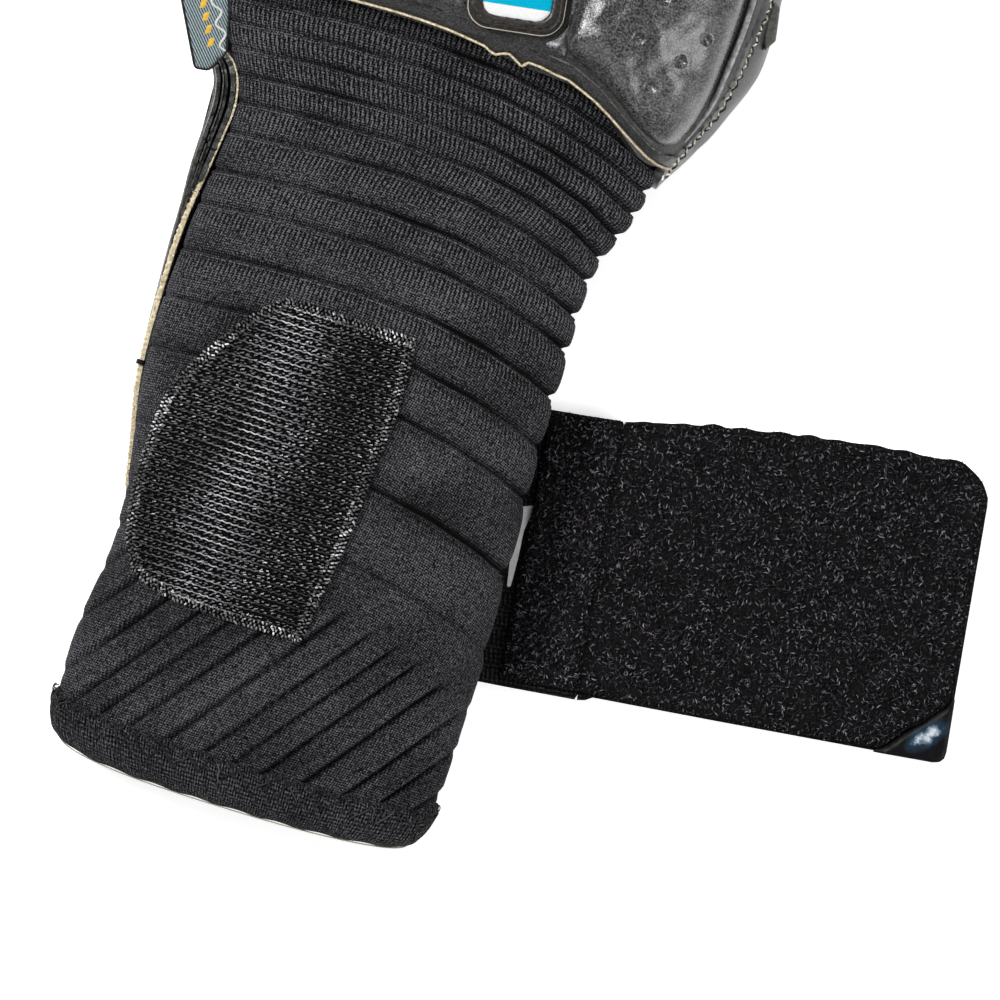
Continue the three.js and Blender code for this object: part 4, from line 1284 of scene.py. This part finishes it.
def make_shell():
    columns, rows = 120, 90
    angle = np.linspace(0, np.pi, columns)
    front = front_edge(1.0)
    grids = []
    for out in (0.0, -2.3):
        c, s = power_curve(angle, 3.0)
        x = -0.9 + 46 * c
        y_low = np.interp(x, LOWER_EDGE[:, 0], LOWER_EDGE[:, 1]) + (0 if out == 0 else 0.4)
        y_high = np.interp(x, front[:, 0], front[:, 1])
        t = np.linspace(0, 1, rows)[:, None]
        y = y_low[None] + (y_high - y_low)[None] * t
        x0, x1, z1 = (np.interp(y, HAND_YS, column) for column in HAND_COLUMNS)
        px = (x0 + x1) / 2 + c[None] * ((x1 - x0) / 2 + out)
        pz = FOOT + s[None] * (z1 - FOOT + out)
        side = smoothstep(np.abs(c)[None] + 0 * y, 0.75, 1.0)
        swell = 0.35 * ripple(y, pz, 11, 21) * side * (out == 0)
        grids.append(np.stack([px + np.sign(c)[None] * swell, y, pz], -1))
    outer, inner = grids
    loop = np.concatenate([outer, inner[:, ::-1]], 1)
    lid = grid_quads(rows, loop.shape[1], False, True)[0]
    flat = loop.reshape(-1, 3)
    m = loop.shape[1]
    caps = []
    for row in (0, rows - 1):
        for k in range(columns - 1):
            quad = [row * m + k, row * m + k + 1, row * m + m - 2 - k, row * m + m - 1 - k]
            caps.append(quad[::-1] if row == 0 else quad)
    return build("backhand_shell", flat, np.vstack([lid, np.array(caps)]), SIDE_LEATHER, smooth_angle=50)


rides(make_shell(), "glove", "mesh", "backhand_lining", "gusset_little_side", "gusset_thumb_base",
    "gusset_index_side")


def on_hand(outline, name, spacing, low, profile, look, slot, nodes=(), holes=(), extra=None):
    """A layer on the back of the hand: its underside at `low`, its top at low + profile(edge)."""
    def top(p, edge):
        rise = profile(edge)
        if extra is not None:
            rise = rise + extra(p, edge)
        return hand_top(p[:, 0], p[:, 1], low) + rise

    piece = panel(name, outline, spacing, top, lambda p, e: hand_top(p[:, 0], p[:, 1], low - 0.45), look,
        holes=holes)
    return rides(piece, "glove", slot, *nodes)


# the leather skin over the whole back, its cut edge and the stitched channel above it
skin_front = front_edge(-1.0)
CREAM_TRACE = [[-44, 6.3], [-34, 6.7], [-25.7, 7.0], [-21.2, 7.2], [-16.3, 7.4], [-11, 7.4], [-6, 7.2], [-2.8, 6.9],
    [1.9, 6.3], [3.3, 5.6], [4.3, 5.4], [5.5, 6.0], [6.7, 6.3], [8.1, 5.6], [9.7, 4.7], [10.6, 5.8], [13.1, 5.7],
    [16, 5.2], [18.9, 4.9], [22, 3.7], [25.1, 2.4], [28.5, 0.5], [31.9, -1.6], [35.3, -3.5], [37.5, -4.6],
    [40, -5.3], [42.3, -5.3], [43.4, -4.5], [44, -3.5]]
CREAM_BACK = [[x, y - float(np.interp(x, [0, 20, 30], [0.45, 0.35, 0.1]))] for x, y in CREAM_TRACE]
skin = [*[[x, y + 0.5] for x, y in CREAM_BACK[:-1]], [45.4, -0.6], [47.6, 6], [49.4, 14], [50.4, 30], [50.2, 60],
    [48.8, 80], *skin_front[::-1].tolist(), [-46.6, 80], [-47.2, 60], [-47.4, 55], [-46.4, 50], [-36, 36],
    [-40.6, 30], [-46, 24.5], [-49, 20], [-48.6, 14]]
on_hand(skin, "backhand_skin", 1.3, 0.15, lambda e: 0.9 * rounding(e, 0.8), SIDE_LEATHER, "pu_leather",
    extra=lambda p, e: 0.12 * bumps(p, 7, 31))

cream = np.array(CREAM_BACK)
cream_line = resample(cream, 0.5)
rides(ribbon("backhand_raw_edge", lifted(cream_line, -0.3), 0.5, 1.4, CREAM, jag=0.25, seed=14, step=0.35), "glove",
    "raw_edge", "backhand_edge")
inner_edge = resample(np.array([[13.1, 8.0], [18.9, 7.4], [25.1, 4.9], [31.9, 0.6], [37.5, -2.6], [41, -3.4],
    [43.6, -2.6]]), 0.5)
rides(ribbon("backhand_fold_edge", lifted(inner_edge, 0.7), 0.4, 0.7, FOLD_EDGE_HIGHLIGHT, jag=0.4, seed=15, step=0.35),
    "glove", "pu_leather")

panel_outline = [[16.9, 8.4], [9, 9.4], [0, 10.6], [-11, 11.4], [-23, 11.8], [-40, 11], [-45, 13], [-46.5, 19],
    [-42.5, 25], [-35, 34], [-36.5, 38], [-44.5, 50], [-45.6, 60], [-45, 65.5], [16.9, 65.5]]
BADGE_CENTRE, BADGE_TURN = np.array([4.2, 21.9]), math.radians(9)


def badge_rect(width, height, radius):
    points = []
    for sx, sy, start in ((1, -1, -90), (1, 1, 0), (-1, 1, 90), (-1, -1, 180)):
        for step in range(7):
            a = math.radians(start + 15 * step)
            x = sx * (width / 2 - radius) + radius * math.cos(a)
            y = sy * (height / 2 - radius) + radius * math.sin(a)
            points.append([BADGE_CENTRE[0] + x * math.cos(BADGE_TURN) - y * math.sin(BADGE_TURN),
                BADGE_CENTRE[1] + x * math.sin(BADGE_TURN) + y * math.cos(BADGE_TURN)])
    return np.array(points)


BADGE_BED = badge_rect(18.4, 24, 4)


def badge_bed(p):
    """0 under the badge, 1 away from it."""
    side = np.where(inside(p, BADGE_BED), -1, 1)
    return smoothstep(distance(p, BADGE_BED, True) * side, -0.5, 3.5)


grooves = [[[-46, 30], [-20, 40], [-8, 62]], [[-46, 44], [-28, 50], [-20, 66]], [[17, 40], [2, 44], [-8, 62]]]


def panel_relief(p, edge):
    relief = 0.28 * bumps(p, 14, 41) + 0.1 * bumps(p, 4, 42)
    return carve(relief, p, grooves, 1.3, 0.9) * rounding(edge, 3) - 1.4 * (1 - badge_bed(p))


panel_puff = puffed(panel_outline, [*grooves, joined(BADGE_BED)])
main = on_hand(panel_outline, "backhand_panel_pad", 0.9, 0.9, lambda e: 0.3 + 0.9 * rounding(e, 2.5), LEATHER,
    "pu_leather", ("backhand_panel",), extra=lambda p, e: panel_relief(p, e) + 1.5 * panel_puff(p,
    e) * badge_bed(p))

pad_outline = rounded([[16.2, 11.0], [17.4, 9.4], [21.8, 7.6], [28.2, 4.4], [33.7, 0.4], [38.0, -1.7], [41.2, -1.6],
    [43.4, 1.4], [44.9, 5.5], [45.8, 11.3], [46.3, 17.9], [46.5, 24], [46.5, 30], [45.6, 50], [43.6, 65.5],
    [17.0, 65.5], [16.4, 30]], 2.2)
DIMPLES = np.array([[29.2, 16.1], [41.4, 19.8], [38.1, 14.4], [34.1, 8.1], [31.6, 24.3], [40.6, 30.5], [27, 33],
    [36, 37], [42, 44], [29, 46], [37, 54], [24.5, 56], [22, 24]])
PAD_GROOVES = [[[17, 41], [30, 39.5], [47, 43]], [[17, 57], [30, 55], [46, 58.5]]]


def pad_relief(p, edge):
    relief = 0.35 * bumps(p, 12, 51) + 0.12 * bumps(p, 3.5, 52)
    for x, y in DIMPLES:
        d = np.hypot(p[:, 0] - x, p[:, 1] - y)
        relief -= 0.95 * bell(d, 0.7)
        relief += 0.2 * bell(d - 1.35, 0.42)
        relief -= 0.42 * bell(d, 2.6)
    return carve(relief, p, PAD_GROOVES, 0.9, 0.9) * rounding(edge, 2.5)


pad_puff = puffed(pad_outline, PAD_GROOVES)
pad = on_hand(pad_outline, "side_pad_cushion", 0.55, 0.9, lambda e: 0.2 + 1.1 * rounding(e, 2.0) + 2.3 * rounding(e,
    7.0), PAD_LEATHER, "pu_leather", ("side_pad",), extra=lambda p, e: pad_relief(p, e) + 1.9 * pad_puff(p, e))

knuckle_outline = rounded([[-44, 67], [42.8, 67], [44.6, 72], [43, 82.5], [26.5, 87.2], [13, 90.4], [-12, 91],
    [-25, 87.6], [-43, 85]], 2.5)
KNUCKLE_GROOVES = [[[-24, 64], [-24, 92]], [[0.8, 64], [0.8, 94]], [[25.2, 64], [25.6, 92]]]


def knuckle_relief(p, edge):
    relief = 0.25 * bumps(p, 9, 61) + 0.1 * bumps(p, 3.5, 62)
    return carve(relief, p, KNUCKLE_GROOVES, 1.0, 0.9, rounds=0) * rounding(edge, 2)


knuckle_puff = puffed(knuckle_outline, KNUCKLE_GROOVES)
knuckles = on_hand(knuckle_outline, "knuckle_cushion", 0.8, 0.9, lambda e: 0.2 + 1.3 * rounding(e, 3.0), LEATHER,
    "pu_leather", ("knuckle_pad",), extra=lambda p, e: knuckle_relief(p, e) + 2.2 * knuckle_puff(p, e))


# piping, seams and the badge
def on_back(line, out, step=0.6):
    return lifted(resample(smooth_line(line, 2), step), out)


piping_line = on_back([[43.4, 0.4], [45.2, 5], [46.5, 9.4], [47.1, 16.5], [47.6, 22.6], [47.7, 28.5], [47.5, 36],
    [46.7, 52], [45.0, 68]], 1.5)
piping = strand_piece("side_piping", [(piping_line[None], np.interp(np.arange(len(piping_line)), [0, 14, 30],
    [0.3, 0.5, 0.62])[None], 12)], SHINE, [0.5])
rides(piping, "glove", "pu_leather")
seam = on_back([[41.3, -7.6], [42.4, -6.2], [43.2, -3.4], [44.8, 0.6], [47.1, 5.1], [48.4, 9.4], [49.4, 13.8],
    [50.3, 22.2], [50.8, 26.8], [51.2, 32], [50.9, 44], [49.8, 66]], 0.8)
seam[:, 2] = np.maximum(seam[:, 2], 17.0)
stitches("side_seam_stitches", [seam], CREAM_BEAD, "glove", "raw_edge", 1.15, 0.72, 0.2, lift=0.25, zigzag=0.4,
    jitter=0.1)
stitches("side_seam_under_stitches", [seam + [0.25, 0, -0.1]], THREAD, "glove", "raw_edge", 1.2, 1.0, 0.2, lift=0.1,
    zigzag=-0.5, jitter=0.1)
stitches("lower_channel_stitches", [on_back([[-40, 9.6], [-23, 10.3], [-11, 10.0], [0, 9.2], [9, 8.1], [17, 6.9]],
    1.0)], THREAD, "glove", "pu_leather", 2.4, 1.9, 0.14, lift=0.25)
inner_ring = badge_rect(12.7, 18.6, 2.6)
on_hand(badge_rect(17.9, 23.6, 4), "badge_border", 0.4, 2.3, lambda e: 0.3 + 1.25 * rounding(e, 0.8), RUBBER,
    "badge_rubber", ("badge_frame",), holes=(inner_ring,))
on_hand(badge_rect(13.1, 19.0, 2.8), "badge_printed_face", 0.6, 2.2, lambda e: 0.9 + 0.15 * rounding(e, 0.6), BADGE,
    "badge_face", ("badge_face",))
ring_line = joined(badge_rect(15.6, 21.4, 3.2))
stitches("badge_border_stitches", [lifted(ring_line, 3.85)], THREAD, "glove", "badge_rubber", 1.5, 0.8, 0.12,
    lift=0.12, jitter=0.03)
halo = badge_rect(18.3, 24.0, 4.2)
halo = lifted(np.vstack([halo, halo[:2]]), 2.5)
rides(strand_piece("badge_pale_outline", [(halo[None], 0.11, 6)], PALE_THREAD, [0.75]), "glove", "badge_rubber")
rides(panel("side_seam_tab", [[52.7, 21.6], [54.1, 24.0], [53.0, 30.2], [51.6, 31.0], [50.8, 26]], 0.4,
    lambda p, e: 14.5 + 0.4 * rounding(e, 0.4), lambda p, e: 13.6 + 0 * e, TAB), "glove", "mesh")

# ------------------------------------------------------------------ palm
palm_side_right = [[x, y] for y, x in ((-9, 40.6), (-4, 43.8), (1, 46.4), (7, 49.2), (12, 51.3), (19, 53.0),
    (32, 52.6), (48, 52.0), (66, 51.4), (84, 50.0))]
thumb_root = stall_place("thumb")(np.array([[-13.3, 1.0, 0], [13.3, 1.0, 0], [14.4, 24, 0]]))[:, :2]
palm_outline = [*palm_side_right, *front_edge(1.0)[::-1].tolist(), [-48.2, 84], [-48.4, 66], thumb_root[2].tolist(),
    thumb_root[1].tolist(), thumb_root[0].tolist(), [-51.4, 10], [-49.2, 4], [-46.9, -4], [-46.1, -9], [-45.5, -14],
    [-44.5, -33], [-43.3, -52.5], [-42.4, -64], [-39.6, -83], [-33, -82.8], [-20, -55.2], [27.8, -50.2], [30, -14]]


def palm_top(p, edge):
    return 3.2 + 0.8 * rounding(edge, 1.2) + 0 * edge


def palm_bottom(p, edge):
    lines = 0.0
    for line in ([[-30, 12], [-12, 40], [-24, 84]], [[-18, 6], [12, 30], [44, 62]], [[-44, 66], [0, 74], [48, 70]]):
        lines = lines + 0.45 * bell(distance(p, smooth_line(line, 2)), 0.7)
    return 0.02 + 0.9 * (1 - rounding(edge, 1.4)) + lines


palm = panel("palm_foam", palm_outline, 1.7, palm_top, palm_bottom, LATEX, smooth_angle=45)
rides(palm, "glove", "latex", "palm_latex")


# ------------------------------------------------------------------ fingers and thumb
def stall_outline(length, half, start, inset=0.0, bulge=1.1):
    r = half - inset
    sides = [[r + bulge * math.sin(math.pi * k / 8) ** 2,
              start + (length - half - start) * k / 8] for k in range(9)]
    tip = [[r * math.cos(a), length - half + r * math.sin(a)] for a in np.linspace(0.1, math.pi - 0.1, 17)]
    return [*sides, *tip, *[[-x, y] for x, y in sides[::-1]]]


def make_stall(name):
    _, _, length, half = FINGERS[name]
    place = stall_place(name)
    start = -3.0
    blend_from, blend_to = (Vector(place(np.array([[0, y, 0]]))[0] * MM) for y in (-3.0, 12.0))

    def bends(piece, slot, *nodes):
        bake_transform(piece)
        return fits(piece, slot, *nodes)

    def foam_bottom(p, e):
        lines = 0.0
        for at in (0.36, 0.66):
            lines = lines + 0.5 * bell(p[:, 1] - at * length, 0.7)
        return 0.02 + 1.1 * (1 - rounding(e, 2.0)) + lines * rounding(e, 3)

    foam = panel(name + "_palm_foam", stall_outline(length, half, start), 1.2,
        lambda p, e: 3.0 + 1.0 * rounding(e, 1.2), foam_bottom, LATEX, place=place)
    bends(foam, "latex", name + "_latex")

    wall = np.array(stall_outline(length, half, start, 0.5))
    wall = resample(smooth_line(wall, 1), 1.3)
    heights = np.linspace(3.4, 15.4, 12)
    normal = np.gradient(wall, axis=0)
    normal = np.stack([normal[:, 1], -normal[:, 0]], 1)
    normal /= np.linalg.norm(normal, axis=1, keepdims=True)
    rows = []
    for z in heights:
        t = (z - 3.4) / 12
        swell = 0.35 * math.sin(math.pi * t) + 0.1 * ripple(wall[:, 1], np.full(len(wall), z), 5, 71)
        rows.append(np.column_stack([wall + normal * np.reshape(swell, (-1, 1)), np.full(len(wall), z)]))
    for z in heights[::-1]:
        rows.append(np.column_stack([wall - normal * 1.3, np.full(len(wall), z)]))
    points = np.array(rows)
    quads = grid_quads(len(rows), len(wall), True, False)[0]
    n = len(wall)
    caps = []
    for column in (0, n - 1):
        for k in range(11):
            quad = [k * n + column, (k + 1) * n + column, (22 - k) * n + column, (23 - k) * n + column]
            caps.append(quad[::-1] if column == 0 else quad)
    gusset = build(name + "_side_mesh", place(points.reshape(-1, 3)), np.vstack([quads, np.array(caps)]), MESH,
        smooth_angle=60)
    bends(gusset, "mesh", name + "_gusset")

    def crown(p):
        across = np.clip(np.abs(p[:, 0]) / half, 0, 1.1)
        sink = np.clip((p[:, 1] - (length - 2 * half)) / (2 * half), 0, 1) ** 2
        return 14.2 + 4.2 * (1 - across ** 2) * (1 - 0.55 * sink), 4.0 * (1 - 0.25 * sink)

    bars = [0.30, 0.56, 0.80] if name != "thumb" else [0.38, 0.70]

    across = np.linspace(-half - 1.2, half + 1.2, 25)
    seams = [np.column_stack([across, at * length - 0.02 * across ** 2]) for at in bars]
    puff = puffed(stall_outline(length, half, start, 2.4), seams, 1.3, 0.06)

    def back_top(p, e):
        base, thick = crown(p)
        relief = 0.14 * bumps(p, 7, 81)
        for at in bars:
            relief = relief - 0.9 * bell(p[:, 1] - at * length + 0.02 * p[:, 0] ** 2, 0.8)
        channel = bell(e - 2.5, 0.6) * 0.9
        inner = smoothstep(e, 2.2, 3.4)
        return base + thick * (0.32 + 0.34 * rounding(e, 4.0) + 0.42 * puff(p,
            e) * inner) + (relief - channel) * rounding(e, 1.5)

    back = panel(name + "_back_cushion", stall_outline(length, half, start), 0.95, back_top,
        lambda p, e: crown(p)[0] - 0.3, LEATHER, place=place)
    bends(back, "pu_leather", name + "_back")

    seam = np.array(stall_outline(length, half, start, 2.6))
    seam = resample(smooth_line(seam, 1), 0.8)
    p3 = np.column_stack([seam, back_top(seam, distance(seam, np.array(stall_outline(length, half, start)), True))])
    paths = stitch_paths(place(p3), 2.5, 2.0, 0.22)
    thread = strand_piece(name + "_back_stitches", [(paths, 0.14, 5)], THREAD, [rng.uniform(0.2, 0.9, len(paths))])
    bends(thread, "pu_leather")
    ring = np.array(stall_outline(length, half, start, 0.2))
    ring = resample(smooth_line(ring, 1), 1.0)
    welt = place(np.column_stack([ring, np.full(len(ring), 14.1)]))
    bends(strand_piece(name + "_back_welt", [(welt[None], 0.55, 8)], PIPING, [0.5]), "pu_leather")


for stall in FINGERS:
    make_stall(stall)

# ------------------------------------------------------------------ floor
bpy.ops.mesh.primitive_plane_add(size=8.0, location=(0, 0, -0.0003))
floor = bpy.context.object
floor.name = "floor"
floor.data.materials.append(floor_look.material)

bpy.context.view_layer.update()
